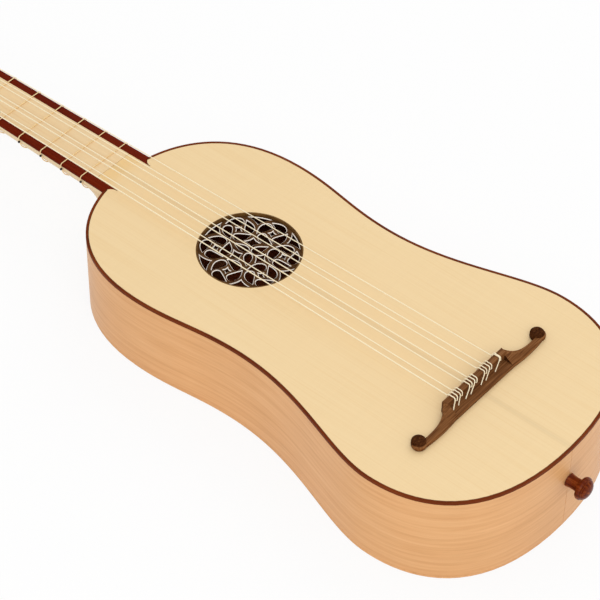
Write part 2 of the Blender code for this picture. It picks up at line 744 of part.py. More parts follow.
def turned(profile, segments, axis):
    # a profile of (radius, height) spun about a height axis
    shape = bmesh.new()
    corners = [shape.verts.new((radius, 0.0, height)) for radius, height in profile]
    edges = [shape.edges.new(pair) for pair in zip(corners, corners[1:])]
    bmesh.ops.spin(
        shape, geom=corners + edges, axis=(0.0, 0.0, 1.0), cent=(0.0, 0.0, 0.0), angle=2 * math.pi,
        steps=segments, use_merge=True)
    bmesh.ops.remove_doubles(shape, verts=shape.verts, dist=1e-7)
    if axis == "-Y":
        bmesh.ops.rotate(shape, verts=shape.verts, matrix=Matrix.Rotation(math.pi / 2, 3, "X"))
    return shape


# End button
def button_shaft(radius):
    reach = BUTTON_SHAFT_LENGTH + RIB_THICKNESS + GAP
    profile = ((0.0, -reach), (radius, -reach), (radius, 0.001), (0.0, 0.001))
    shape = turned(profile, 16, "-Y")
    bmesh.ops.translate(shape, verts=shape.verts, vec=(0.0, -TAIL_DISTANCE, -BUTTON_DEPTH))
    return shape


def build_button(frame, finishes):
    stem = BUTTON_STEM_RADIUS
    head = BUTTON_HEAD_RADIUS
    start = GAP
    neck_end = start + BUTTON_STEM_LENGTH
    end = neck_end + BUTTON_HEAD_LENGTH
    profile = (
        (0.0, -BUTTON_SHAFT_LENGTH),
        (BUTTON_SHAFT_RADIUS, -BUTTON_SHAFT_LENGTH),
        (BUTTON_SHAFT_RADIUS, start),
        (stem * 1.04, start),
        (stem * 0.94, blend(start, neck_end, 0.4)),
        (stem, blend(start, neck_end, 0.8)),
        (head * 0.80, blend(neck_end, end, 0.02)),
        (head * 0.97, blend(neck_end, end, 0.16)),
        (head, blend(neck_end, end, 0.36)),
        (head * 0.93, blend(neck_end, end, 0.52)),
        (head * 0.84, blend(neck_end, end, 0.56)),
        (head * 0.82, blend(neck_end, end, 0.66)),
        (head * 0.62, blend(neck_end, end, 0.85)),
        (head * 0.32, blend(neck_end, end, 0.97)),
        (0.0, end),
    )
    shape = turned(profile, 16, "-Y")
    add_solid("end_button", shape, finishes["edge_wood"], frame, (0.0, -TAIL_DISTANCE, -BUTTON_DEPTH))


# Strings
def smooth_route(points, per_span):
    # a smooth curve through hand-chosen points
    route = []
    padded = [points[0]] + list(points) + [points[-1]]
    for before, start, end, after in zip(padded, padded[1:], padded[2:], padded[3:]):
        for step in range(per_span):
            t = step / per_span
            pull = (end - before) * t * (1 - t)**2 - (after - start) * t * t * (1 - t)
            ease = t * t * (3 - 2 * t)
            route.append(start.lerp(end, ease) + pull * 0.5)
    route.append(points[-1])
    return route


def tie_points(place, radius, tail):
    # through the tie block, over its top, under the string in front, back over the top, then a slanting tail
    off = GAP + radius
    rear = -TIE_BLOCK_WIDTH - off
    over = TIE_BLOCK_HEIGHT + off
    front = off
    hole = STRING_HEIGHT_AT_BRIDGE
    spread = 2.6 * radius + GAP
    shelf = SHELF_HEIGHT + off
    steps = (
        (0.0, -TIE_BLOCK_WIDTH + 0.0008, hole),
        (0.15 * spread, rear - 0.0004, hole + 0.0002),
        (0.5 * spread, rear - 0.0004, blend(hole, over, 0.5)),
        (0.85 * spread, rear + 0.0002, over - 0.0001),
        (spread, -TIE_BLOCK_WIDTH / 2, over + 0.0002),
        (spread, -0.0002, over + 0.0001),
        (spread, front + 0.0003, blend(hole, over, 0.6)),
        (spread, front + 0.0003, hole),
        (0.0, front + 0.0003, hole - 2.4 * radius - GAP),
        (-spread, front + 0.0003, hole),
        (-spread, front + 0.0003, blend(hole, over, 0.6)),
        (-spread, -0.0002, over + 0.0001),
        (-spread, -TIE_BLOCK_WIDTH / 2, over + 0.0002),
        (-spread, rear + 0.0002, over - 0.0001),
        (-spread - 0.12 * tail, rear - 0.0005, blend(shelf, over, 0.84)),
        (-spread - 0.50 * tail, rear - 0.0011, blend(shelf, over, 0.42)),
        (-spread - tail, rear - 0.0020, shelf + 0.0003),
    )
    return [Vector((place + x, y, z)) for x, y, z in steps]


def coil_radius(index):
    return POST_RADIUS + GAP + STRING_RADII[index]


def string_end_on_head(index):
    # where the string reaches its winding, and the free stretch that the turning winding needs
    x, along = peg_place(index)
    inward = -math.copysign(1.0, x)
    return Vector((x + inward * coil_radius(index), along, STRING_HEIGHT_AT_PEG))


def build_strings(frame, head_matrix, finishes):
    for index, radius in enumerate(STRING_RADII):
        nut_front = Vector((NUT_PLACES[index], STRING_LENGTH, STRING_HEIGHT_AT_NUT))
        nut_rear = Vector((NUT_PLACES[index], NUT_REAR - GAP, STRING_HEIGHT_AT_NUT))
        touch = head_matrix @ string_end_on_head(index)
        along = (touch - nut_rear).normalized()
        coil = coil_radius(index)
        clearance = math.sqrt((2 * coil + COIL_GAP) * (2 * radius + COIL_GAP)) + COIL_GAP
        far_end = touch - along * clearance
        bridge_front = Vector((BRIDGE_PLACES[index], 0.002, STRING_HEIGHT_AT_BRIDGE))
        tie = smooth_route([bridge_front] + tie_points(BRIDGE_PLACES[index], radius, TAIL_LENGTHS[index]), 2)
        add_tube("string_%d" % (index + 1), [far_end, nut_rear, nut_front] + tie, radius, finishes["gut"], frame)


def winding_points(index):
    radius = STRING_RADII[index]
    pitch = 2 * radius + COIL_GAP
    side = math.copysign(1.0, peg_place(index)[0])
    coil = coil_radius(index)
    points = []
    for step in range(WINDING_LOOPS * WINDING_LOOP_POINTS + 1):
        turn = step / WINDING_LOOP_POINTS
        angle = 2 * math.pi * turn
        x = -side * coil * math.cos(angle)
        y = coil * math.sin(angle)
        points.append(Vector((x, y, STRING_HEIGHT_AT_PEG + pitch * turn)))
    return points


def least_gap(points, radius, apart):
    gap = 1.0
    for index, point in enumerate(points):
        for other in points[index + apart:]:
            gap = min(gap, (other - point).length - 2 * radius)
    return gap


# Head and pegs
def head_outline():
    start = Vector((neck_half_width(NUT_REAR), GAP))
    shoulder = Vector((HEAD_WIDTH / 2, 0.19 * HEAD_LENGTH))
    waist = Vector((HEAD_WAIST_WIDTH / 2, 0.62 * HEAD_LENGTH))
    corner = Vector((0.96 * HEAD_WIDTH / 2, 0.92 * HEAD_LENGTH))
    top = Vector((0.0, HEAD_LENGTH))
    rise = Vector((0.0, 0.08 * HEAD_LENGTH))
    line = bezier(start, start + rise, shoulder - rise, shoulder, 5)
    line += bezier(shoulder, shoulder + 2 * rise, waist - 2 * rise, waist, 4)[1:]
    line += bezier(waist, waist + 2 * rise, corner - rise, corner, 4)[1:]
    dip = Vector((0.35 * corner.x, 0.0))
    line += bezier(corner, corner - dip, top + 1.6 * dip, top, 6)[1:]
    return [tuple(point) for point in line]


def peg_shape():
    back = HEAD_BACK
    end = back - GRIP_LENGTH
    wide = GRIP_HALF_WIDTH
    thin = GRIP_HALF_THICKNESS
    collar = SHAFT_RADIUS_BACK + 0.0014
    stations = (
        (POST_HEIGHT, 0.7 * POST_RADIUS, 0.7 * POST_RADIUS),
        (POST_HEIGHT - 0.0006, POST_RADIUS, POST_RADIUS),
        (0.0005, POST_RADIUS, POST_RADIUS),
        (0.0001, SHAFT_RADIUS_FRONT, SHAFT_RADIUS_FRONT),
        (back, SHAFT_RADIUS_BACK, SHAFT_RADIUS_BACK),
        (back - GAP, collar, collar),
        (back - 0.0018, collar, collar),
        (back - 0.0024, 0.8 * SHAFT_RADIUS_BACK, 0.8 * SHAFT_RADIUS_BACK),
        (back - 0.0050, 0.9 * SHAFT_RADIUS_BACK, 0.75 * SHAFT_RADIUS_BACK),
        (blend(back, end, 0.36), 0.62 * wide, thin),
        (blend(back, end, 0.52), 0.95 * wide, 0.95 * thin),
        (blend(back, end, 0.66), wide, 0.85 * thin),
        (blend(back, end, 0.82), 0.78 * wide, 0.7 * thin),
        (blend(back, end, 0.94), 0.42 * wide, 0.55 * thin),
        (end, 0.14 * wide, 0.3 * thin),
    )
    sides = 10
    sections = []
    for height, half_x, half_y in stations:
        ring = [2 * math.pi * side / sides for side in range(sides)]
        sections.append([(half_x * math.cos(turn), half_y * math.sin(turn), height) for turn in ring])
    return loft(sections)


def build_head(head_frame, finishes):
    outline = mirrored(head_outline())
    plate = prism(outline, level(HEAD_BACK), level(HEAD_FRONT))
    head = add_solid("head", plate, finishes["neck_wood"], head_frame)
    veneer = prism(outline, level(-VENEER_THICKNESS), level(0.0))
    head_veneer = add_solid("head_veneer", veneer, finishes["edge_wood"], head_frame)
    least = 1.0
    for index in range(len(PEG_ROWS)):
        x, along = peg_place(index)
        hole = bmesh.new()
        bmesh.ops.create_cone(
            hole, cap_ends=True, segments=20, radius1=SHAFT_RADIUS_BACK + 1.2 * GAP,
            radius2=SHAFT_RADIUS_FRONT + 1.2 * GAP, depth=-HEAD_BACK,
            matrix=Matrix.Translation((0.0, 0.0, HEAD_BACK / 2)))
        bmesh.ops.scale(hole, verts=hole.verts, vec=(1.0, 1.0, 1.02), space=Matrix.Translation((0, 0, -HEAD_BACK / 2)))
        cutter = add_solid("peg_hole_%d" % (index + 1), hole, finishes["neck_wood"], head_frame, (x, along, 0.0))
        cut(head, cutter)
        cut(head_veneer, cutter)
        place = (x, along, 0.0)
        peg = add_solid("peg_%d" % (index + 1), peg_shape(), finishes["peg_wood"], head_frame, place)
        peg.rotation_euler.z = math.radians(PEG_TURNS_AT_REST[index])
        coil = winding_points(index)
        radius = STRING_RADII[index]
        least = min(least, least_gap(coil, radius, WINDING_LOOP_POINTS // 2))
        add_tube("string_winding_%d" % (index + 1), coil, radius, finishes["gut"], head_frame, place)
    print("least gap between turns of a winding, mm:", round(least * 1000, 3))


# Tied frets
def fret_distance(number):
    return STRING_LENGTH / 2**(number / 12)


def fret_route(number, radius):
    y = fret_distance(number)
    half = neck_half_width(y)
    depth = neck_depth(y)
    corner = EDGE_ROUNDING
    burnt_end = 1.45
    side_shift = 2 * radius * burnt_end + COIL_GAP
    route = []
    swell = []

    def under(angle, shift, size=1.0):
        off = 1.6 * GAP + radius * size
        normal = Vector((math.cos(angle) / half, -math.sin(angle) / depth)).normalized()
        x = half * math.cos(angle) + off * normal.x
        z = NECK_TOP - depth * math.sin(angle) + off * normal.y
        route.append(Vector((x, y - shift, z)))
        swell.append(size)

    reach = corner + 1.6 * GAP + radius
    for angle, size in ((math.pi - 0.30, burnt_end), (math.pi - 0.22, 1.3), (math.pi - 0.14, 1.0)):
        under(angle, 0.0, size)
    for turn in (1.0, 0.83, 0.67, 0.5):
        angle = math.pi * turn
        route.append(Vector((-half + corner + reach * math.cos(angle), y, -corner + reach * math.sin(angle))))
        swell.append(1.0)
    for turn in (0.5, 0.33, 0.17, 0.0):
        angle = math.pi * turn
        route.append(Vector((half - corner + reach * math.cos(angle), y, -corner + reach * math.sin(angle))))
        swell.append(1.0)
    steps = 12
    for step in range(steps):
        share = step / (steps - 1)
        under(0.14 + (math.pi - 0.36) * share, side_shift * share)
    under(math.pi - 0.15, side_shift, 1.3)
    under(math.pi - 0.08, side_shift, burnt_end)
    return route, swell


def build_frets(frame, finishes):
    for number in range(1, FRET_COUNT + 1):
        share = (number - 1) / (FRET_COUNT - 1)
        radius = blend(FRET_RADIUS_FIRST, FRET_RADIUS_LAST, share)
        route, swell = fret_route(number, radius)
        add_tube("fret_%d" % number, route, radius, finishes["fret_gut"], frame, swell=swell)


def build_guitar():
    clear_scene()
    finishes = {
        "spruce": make_finish("spruce", (0.84, 0.67, 0.40), 0.45),
        "rib_wood": make_finish("rib_wood", (0.72, 0.40, 0.22), 0.4),
        "neck_wood": make_finish("neck_wood", (0.80, 0.62, 0.42), 0.45),
        "inner_wood": make_finish("inner_wood", (0.78, 0.62, 0.42), 0.6),
        "binding_wood": make_finish("binding_wood", (0.16, 0.035, 0.008), 0.35),
        "edge_wood": make_finish("edge_wood", (0.15, 0.015, 0.006), 0.3),
        "bridge_wood": make_finish("bridge_wood", (0.13, 0.05, 0.025), 0.45),
        "rose_wood": make_finish("rose_wood", (0.10, 0.055, 0.03), 0.5),
        "peg_wood": make_finish("peg_wood", (0.09, 0.02, 0.01), 0.3),
        "bone": make_finish("bone", (0.85, 0.80, 0.66), 0.35),
        "gut": make_finish("gut", (0.90, 0.84, 0.66), 0.3),
        "fret_gut": make_finish("fret_gut", (0.85, 0.70, 0.42), 0.35),
    }
    lay_down = Matrix.Rotation(-BACK_TILT, 4, "X") @ Matrix.Translation((0.0, 0.0, DEPTH_AT_SADDLE))
    frame = make_frame("resting_frame", lay_down)
    head_matrix = Matrix.Translation((0.0, NUT_REAR, 0.0)) @ Matrix.Rotation(-HEAD_TILT, 4, "X")
    head_frame = make_frame("head_frame", head_matrix, frame)
    build_body(frame, finishes)
    build_soundboard(frame, finishes)
    build_rose(frame, finishes)
    build_neck(frame, finishes)
    build_bridge(frame, finishes)
    build_button(frame, finishes)
    build_head(head_frame, finishes)
    build_strings(frame, head_matrix, finishes)
    build_frets(frame, finishes)


build_guitar()
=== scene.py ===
import bpy
import bmesh
import math
from mathutils import Matrix, Vector
from mathutils.geometry import interpolate_bezier


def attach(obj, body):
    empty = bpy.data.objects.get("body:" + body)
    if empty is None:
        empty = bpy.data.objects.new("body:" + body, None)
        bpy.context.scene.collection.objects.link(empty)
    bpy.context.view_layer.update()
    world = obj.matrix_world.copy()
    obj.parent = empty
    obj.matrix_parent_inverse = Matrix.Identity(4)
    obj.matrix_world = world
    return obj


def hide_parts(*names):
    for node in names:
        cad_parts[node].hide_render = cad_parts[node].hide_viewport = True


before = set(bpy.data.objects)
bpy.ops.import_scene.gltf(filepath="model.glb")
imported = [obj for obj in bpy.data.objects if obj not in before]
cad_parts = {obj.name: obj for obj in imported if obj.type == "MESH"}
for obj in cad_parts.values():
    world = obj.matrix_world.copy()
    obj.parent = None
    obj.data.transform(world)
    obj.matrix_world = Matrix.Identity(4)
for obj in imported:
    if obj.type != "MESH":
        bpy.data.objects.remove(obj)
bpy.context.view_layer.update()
scene = bpy.context.scene

# The guitar is drawn with its soundboard level: X to the treble side, Y from the bridge to the head,
# Z = 0 on the soundboard. layDown then rests it on its flat back.
guitar = {
    "stringLength": 0.550,
    "tail": 0.0865,
    "neckJoint": 0.550 / 2 ** (8 / 12) - 0.0223,
    "depthAtNeck": 0.0668,
    "depthAtTail": 0.0811,
    "glueGap": 0.0003,
    "boardThickness": 0.0020,
    "nutThickness": 0.0040,
    "headTilt": math.radians(7.0),
}
gap = guitar["glueGap"]
backSlope = (guitar["depthAtTail"] - guitar["depthAtNeck"]) / (guitar["tail"] + guitar["neckJoint"])
depthAtSaddle = guitar["depthAtTail"] - backSlope * guitar["tail"]
layDown = Matrix.Rotation(-math.atan(backSlope), 4, "X") @ Matrix.Translation((0, 0, depthAtSaddle))
nutRear = guitar["stringLength"] + guitar["nutThickness"]
headTurn = layDown @ Matrix.Translation((0, nutRear, 0)) @ Matrix.Rotation(-guitar["headTilt"], 4, "X")
ribTop = -(guitar["boardThickness"] + gap)


def between(start, end, share):
    return start + (end - start) * share


def quarterAngles(steps):
    return [math.pi / 2 * step / steps for step in range(steps + 1)]


def backHeight(y):
    return backSlope * y - depthAtSaddle


# Materials
def addNode(tree, kind, inputs, **settings):
    # each input takes either a value or the socket it is linked to
    node = tree.nodes.new("ShaderNode" + kind)
    for key, value in settings.items():
        setattr(node, key, value)
    for key, value in inputs.items():
        if isinstance(value, bpy.types.NodeSocket):
            tree.links.new(value, node.inputs[key])
        else:
            node.inputs[key].default_value = value
    return node


def newMaterial(name, roughness, coat=0.0, specular=0.35):
    material = bpy.data.materials.new(name)
    material.use_nodes = True
    shader = material.node_tree.nodes["Principled BSDF"]
    shader.inputs["Roughness"].default_value = roughness
    shader.inputs["Specular IOR Level"].default_value = specular
    shader.inputs["Coat Weight"].default_value = coat
    shader.inputs["Coat Roughness"].default_value = 0.18
    return material, material.node_tree, shader


def placePattern(tree, scale, mirrored=False, shift=0.0):
    # object coordinates turned back to the level soundboard, then stretched along the grain
    coordinates = addNode(tree, "TexCoord", {}).outputs["Object"]
    level = addNode(tree, "Mapping", {"Vector": coordinates, "Rotation": (math.atan(backSlope), 0, 0)})
    source = level.outputs["Vector"]
    if mirrored:
        split = addNode(tree, "SeparateXYZ", {0: source}).outputs
        fold = addNode(tree, "Math", {0: split["X"]}, operation="ABSOLUTE")
        parts = {"X": fold.outputs[0], "Y": split["Y"], "Z": split["Z"]}
        source = addNode(tree, "CombineXYZ", parts).outputs[0]
    stretch = addNode(tree, "Mapping", {"Vector": source, "Scale": scale, "Location": (shift, 0, 0)})
    return source, stretch.outputs["Vector"]


def addNoise(tree, vector, scale, detail=3.0, roughness=0.5, distortion=0.0):
    return addNode(tree, "TexNoise", {
        "Vector": vector, "Scale": scale, "Detail": detail, "Roughness": roughness, "Distortion": distortion,
    }).outputs["Fac"]


def addRamp(tree, value, stops):
    ramp = addNode(tree, "ValToRGB", {"Fac": value})
    elements = ramp.color_ramp.elements
    for element, (position, colour) in ((elements[0], stops[0]), (elements[1], stops[-1])):
        element.position = position
        element.color = (*colour, 1)
    for position, colour in stops[1:-1]:
        elements.new(position).color = (*colour, 1)
    return ramp.outputs["Color"]


def multiplyColours(tree, first, second, amount=1.0):
    inputs = {"Factor": amount, "A": first, "B": second}
    return addNode(tree, "Mix", inputs, data_type="RGBA", blend_type="MULTIPLY").outputs["Result"]


def finishShader(tree, shader, colour, height, strength, distance):
    bump = addNode(tree, "Bump", {"Height": height, "Strength": strength, "Distance": distance})
    tree.links.new(bump.outputs["Normal"], shader.inputs["Normal"])
    tree.links.new(colour, shader.inputs["Base Color"])


def grey(level):
    return (level, level, level)


def shade(tree, colour, value, low, tint, high):
    # the tint where the value is low, the plain colour where it is high
    return multiplyColours(tree, colour, addRamp(tree, value, ((low, tint), (high, grey(1.0)))))


plainWood = {
    "coat": 0.0, "specular": 0.3, "mirrored": False, "lines": 2.0, "waviness": 0.3, "drift": 0.08,
    "driftScale": 14.0,
    "pores": 0.12, "poreScale": 5.0, "bump": 0.15, "bumpDepth": 0.0002,
}


def woodMaterial(name, changes):
    # growth lines, slow shifts of tone and fine pores, all stretched along the grain
    look = {**plainWood, **changes}
    material, tree, shader = newMaterial(name, look["roughness"], look["coat"], look["specular"])
    plain, stretched = placePattern(tree, look["stretch"], look["mirrored"])
    light, middle, dark = look["tones"]
    lines = addNoise(tree, stretched, look["lines"], 4.0, 0.6, look["waviness"])
    colour = addRamp(tree, lines, ((0.30, dark), (0.52, middle), (0.72, light)))
    drift = addNoise(tree, plain, look["driftScale"], 2.0)
    colour = shade(tree, colour, drift, 0.3, grey(1.0 - look["drift"]), 0.7)
    pores = addNoise(tree, stretched, look["lines"] * look["poreScale"], 2.0, 0.7)
    colour = shade(tree, colour, pores, 0.30, grey(1.0 - look["pores"]), 0.42)
    finishShader(tree, shader, colour, pores, look["bump"], look["bumpDepth"])
    return material


def spruceMaterial(name, look):
    # book-matched growth lines of uneven spacing, broad soft bands, a faint cross silk and a centre seam
    material, tree, shader = newMaterial(name, look["roughness"])
    plain, stretched = placePattern(tree, look["stretch"], True, look["shift"])
    light, middle, dark = look["tones"]
    lines = addNoise(tree, stretched, look["lines"], 2.0, 0.55)
    colour = addRamp(tree, lines, ((0.28, dark), (0.46, middle), (0.66, light)))
    broad = addNoise(tree, stretched, look["bands"], 2.0)
    colour = shade(tree, colour, broad, 0.35, look["bandTint"], 0.65)
    silk = addNoise(tree, placePattern(tree, look["silkStretch"])[1], 1.6, 2.0, 0.5)
    colour = shade(tree, colour, silk, 0.35, grey(1.0 - look["silk"]), 0.65)
    split = addNode(tree, "SeparateXYZ", {0: plain}).outputs
    seam = addRamp(tree, split["X"], ((0.0, grey(0.90)), (look["seamWidth"], grey(1.0))))
    colour = multiplyColours(tree, colour, seam, look["seam"])
    start = guitar["neckJoint"]
    tint = addRamp(tree, split["Y"], ((start - 0.004, grey(1.0)), (start + 0.006, look["tongueTint"])))
    finishShader(tree, shader, multiplyColours(tree, colour, tint), lines, 0.04, 0.0001)
    return material


def gutMaterial(name, look):
    # slightly clouded, twisted gut with a soft sheen
    material, tree, shader = newMaterial(name, look["roughness"], 0.0, 0.4)
    cloud = addNoise(tree, placePattern(tree, (1.0, 1.0, 1.0))[1], look["cloud"], 2.0)
    light, dark = look["tones"]
    finishShader(tree, shader, addRamp(tree, cloud, ((0.3, dark), (0.7, light))), cloud, 0.1, 0.0001)
    return material


# tones run from light to dark
woods = {
    "ribWood": {
        "tones": ((0.845, 0.475, 0.215), (0.795, 0.422, 0.178), (0.715, 0.352, 0.136)),
        "stretch": (5.0, 5.0, 150.0),
        "lines": 2.4, "roughness": 0.42, "coat": 0.04, "specular": 0.25, "drift": 0.05, "pores": 0.06},
    "backWood": {
        "tones": ((0.830, 0.460, 0.210), (0.790, 0.420, 0.180), (0.720, 0.360, 0.140)),
        "stretch": (130.0, 4.0, 4.0),
        "lines": 2.2, "roughness": 0.42, "coat": 0.04, "specular": 0.25, "mirrored": True, "drift": 0.07},
    # the body's inside: wood darkened as painted shade of the dim interior seen through the rose
    "insideWoodPaintedShade": {
        "tones": ((0.300, 0.070, 0.024), (0.240, 0.050, 0.017), (0.160, 0.030, 0.010)),
        "stretch": (60.0, 60.0, 60.0),
        "lines": 2.2, "roughness": 0.80, "specular": 0.05, "drift": 0.10},
    "neckWood": {
        "tones": ((0.905, 0.720, 0.450), (0.880, 0.680, 0.410), (0.820, 0.610, 0.350)),
        "stretch": (160.0, 5.0, 160.0),
        "roughness": 0.42, "coat": 0.05, "drift": 0.05, "pores": 0.06},
    "panelWood": {
        "tones": ((0.890, 0.680, 0.400), (0.868, 0.648, 0.370), (0.825, 0.590, 0.320)),
        "stretch": (170.0, 5.0, 170.0),
        "roughness": 0.48, "drift": 0.03, "pores": 0.03},
    # inner pieces: wood darkened as painted shade inside the body
    "innerWoodPaintedShade": {
        "tones": ((0.260, 0.085, 0.032), (0.220, 0.066, 0.024), (0.160, 0.042, 0.014)),
        "stretch": (60.0, 60.0, 200.0),
        "roughness": 0.70},
    "bindingWood": {
        "tones": ((0.215, 0.044, 0.006), (0.180, 0.031, 0.003), (0.125, 0.019, 0.002)),
        "stretch": (12.0, 12.0, 240.0),
        "lines": 2.4, "roughness": 0.42, "specular": 0.05, "drift": 0.15},
    "edgeWood": {
        "tones": ((0.175, 0.016, 0.0015), (0.148, 0.011, 0.0010), (0.110, 0.007, 0.0008)),
        "stretch": (260.0, 8.0, 260.0), "roughness": 0.46, "specular": 0.03, "drift": 0.10},
    "bridgeWood": {
        "tones": ((0.345, 0.155, 0.058), (0.215, 0.084, 0.026), (0.090, 0.026, 0.006)),
        "stretch": (14.0, 420.0, 420.0),
        "lines": 2.2, "roughness": 0.52, "specular": 0.05, "drift": 0.20, "pores": 0.35},
    "scrollWood": {
        "tones": ((0.130, 0.046, 0.013), (0.068, 0.020, 0.005), (0.026, 0.006, 0.001)),
        "stretch": (320.0, 420.0, 420.0), "roughness": 0.58, "specular": 0.02, "drift": 0.20, "pores": 0.45},
    "roseWood": {
        "tones": ((0.150, 0.072, 0.026), (0.094, 0.041, 0.013), (0.048, 0.017, 0.005)),
        "stretch": (220.0, 20.0, 220.0),
        "roughness": 0.55, "specular": 0.03, "drift": 0.15, "pores": 0.2},
    "roseRim": {
        "tones": ((0.230, 0.120, 0.034), (0.170, 0.080, 0.020), (0.110, 0.046, 0.010)),
        "stretch": (60.0, 60.0, 260.0),
        "roughness": 0.55, "specular": 0.06, "drift": 0.15, "pores": 0.2},
    "roseEdge": {
        "tones": ((0.990, 0.925, 0.850), (0.980, 0.905, 0.820), (0.950, 0.850, 0.750)),
        "stretch": (200.0, 200.0, 600.0), "roughness": 0.6},
    "pegWood": {
        "tones": ((0.150, 0.034, 0.011), (0.105, 0.020, 0.006), (0.060, 0.010, 0.003)),
        "stretch": (260.0, 260.0, 12.0),
        "roughness": 0.34, "coat": 0.10, "specular": 0.20, "drift": 0.15},
    "buttonWood": {
        "tones": ((0.340, 0.085, 0.015), (0.160, 0.022, 0.002), (0.060, 0.005, 0.0005)),
        "stretch": (220.0, 14.0, 220.0), "roughness": 0.30, "coat": 0.08, "specular": 0.08, "drift": 0.12},
}
guts = {
    "bone": {"tones": ((0.880, 0.830, 0.700), (0.830, 0.765, 0.610)), "cloud": 220.0, "roughness": 0.35},
    "gut": {"tones": ((0.995, 0.885, 0.640), (0.975, 0.840, 0.580)), "cloud": 300.0, "roughness": 0.38},
    "fretGut": {"tones": ((0.950, 0.740, 0.400), (0.900, 0.660, 0.320)), "cloud": 300.0, "roughness": 0.38},
    "burntGut": {"tones": ((0.012, 0.007, 0.004), (0.005, 0.003, 0.002)), "cloud": 500.0, "roughness": 0.7},
}
finishes = {name: woodMaterial(name, look) for name, look in woods.items()}
finishes.update({name: gutMaterial(name, look) for name, look in guts.items()})
finishes["spruce"] = spruceMaterial("spruce", {
    "tones": ((0.882, 0.662, 0.366), (0.872, 0.648, 0.352), (0.856, 0.622, 0.326)),
    "stretch": (1.0, 0.012, 0.05),
    "lines": 760.0, "shift": 0.37, "bands": 60.0, "bandTint": (0.997, 0.993, 0.988), "silk": 0.010,
    "silkStretch": (6.0, 260.0, 60.0), "seam": 0.8, "seamWidth": 0.00045, "tongueTint": (0.985, 0.930, 0.800),
    "roughness": 0.50,
})
print("materials made:", len(finishes))


# Making and finishing pieces
def finishPiece(name, bm, finish, body, nodes, matrix=layDown, smoothAngle=35.0):
    bmesh.ops.remove_doubles(bm, verts=bm.verts, dist=1e-6)
    bmesh.ops.recalc_face_normals(bm, faces=bm.faces)
    bm.transform(matrix)
    mesh = bpy.data.meshes.new(name)
    bm.to_mesh(mesh)
    bm.free()
    mesh.shade_smooth()
    mesh.set_sharp_from_angle(angle=math.radians(smoothAngle))
    piece = bpy.data.objects.new(name, mesh)
    scene.collection.objects.link(piece)
    for each in ([finish] if isinstance(finish, str) else finish):
        mesh.materials.append(finishes[each])
    if body:
        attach(piece, body)
        if nodes:
            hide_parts(*nodes)
    return piece


def closedLoop(bm, points):
    corners = [bm.verts.new(point) for point in points]
    return [bm.edges.new(pair) for pair in zip(corners, corners[1:] + corners[:1])]


def boxMesh(size, centre):
    bm = bmesh.new()
    bmesh.ops.create_cube(bm, size=1, matrix=Matrix.LocRotScale(Vector(centre), None, Vector(size)))
    return bm


def roundCutter(radii, depth, place, segments, matrix=layDown, upright=False):
    bm = bmesh.new()
    turn = Matrix() if upright else Matrix.Rotation(math.pi / 2, 4, "X")
    bmesh.ops.create_cone(bm, cap_ends=True, segments=segments, radius1=radii[0], radius2=radii[-1],
                          depth=depth, matrix=Matrix.Translation(place) @ turn)
    return makeCutter(bm, matrix)


def mirrorAnchors(anchors):
    flip = lambda v: Vector((-v.x, v.y))
    return [(flip(place), flip(after), flip(before)) for place, before, after in reversed(anchors)]


def makeCutter(bm, matrix=layDown):
    bmesh.ops.recalc_face_normals(bm, faces=bm.faces)
    bm.transform(matrix)
    mesh = bpy.data.meshes.new("cutter")
    bm.to_mesh(mesh)
    bm.free()
    cutter = bpy.data.objects.new("cutter", mesh)
    scene.collection.objects.link(cutter)
    return cutter


def applyBooleans(piece, cutters, operation="DIFFERENCE", smoothAngle=35.0):
    for cutter in cutters:
        boolean = piece.modifiers.new("cut", "BOOLEAN")
        boolean.operation = operation
        boolean.solver = "EXACT"
        boolean.object = cutter
    bakeModifiers(piece, smoothAngle)
    for cutter in cutters:
        bpy.data.objects.remove(cutter, do_unlink=True)


def bakeModifiers(piece, smoothAngle=35.0):
    bpy.context.view_layer.update()
    evaluated = piece.evaluated_get(bpy.context.evaluated_depsgraph_get())
    mesh = bpy.data.meshes.new_from_object(evaluated)
    piece.modifiers.clear()
    piece.data = mesh
    mesh.shade_smooth()
    mesh.set_sharp_from_angle(angle=math.radians(smoothAngle))


def curveEdges(bm, anchors, resolution):
    # anchors are (point, handle before, handle after)
    data = bpy.data.curves.new("line", "CURVE")
    data.dimensions = "3D"
    data.resolution_u = resolution
    spline = data.splines.new("BEZIER")
    spline.bezier_points.add(len(anchors) - 1)
    spline.use_cyclic_u = True
    for point, (place, before, after) in zip(spline.bezier_points, anchors):
        place = Vector((*place, 0.0))
        point.co = place
        point.handle_left_type = point.handle_right_type = "FREE"
        point.handle_left = place + Vector((*before, 0.0))
        point.handle_right = place + Vector((*after, 0.0))
    line = bpy.data.objects.new("line", data)
    scene.collection.objects.link(line)
    bpy.context.view_layer.update()
    bm.from_mesh(line.to_mesh())
    bpy.data.objects.remove(line, do_unlink=True)
    bmesh.ops.remove_doubles(bm, verts=bm.verts, dist=1e-7)


def raiseFace(bm, faces, height):
    raised = bmesh.ops.extrude_face_region(bm, geom=faces)
    top = [part for part in raised["geom"] if isinstance(part, bmesh.types.BMVert)]
    bmesh.ops.translate(bm, verts=top, vec=(0, 0, height))
    return top


def ringLoft(bm, rings):
    # one loop of points for each station, bridged to the next, with closed ends
    loops = [closedLoop(bm, ring) for ring in rings]
    for first, second in zip(loops, loops[1:]):
        bmesh.ops.bridge_loops(bm, edges=first + second)
    for loop in (loops[0], loops[-1]):
        bmesh.ops.contextual_create(bm, geom=loop)


def spinProfile(bm, profile, steps):
    # profile of (radius, height) turned about Z
    corners = [bm.verts.new((radius, 0, height)) for radius, height in profile]
    edges = [bm.edges.new(pair) for pair in zip(corners, corners[1:])]
    bmesh.ops.spin(bm, geom=corners + edges, axis=(0, 0, 1), cent=(0, 0, 0), angle=2 * math.pi, steps=steps,
                   use_merge=True)
    bmesh.ops.remove_doubles(bm, verts=bm.verts, dist=1e-7)


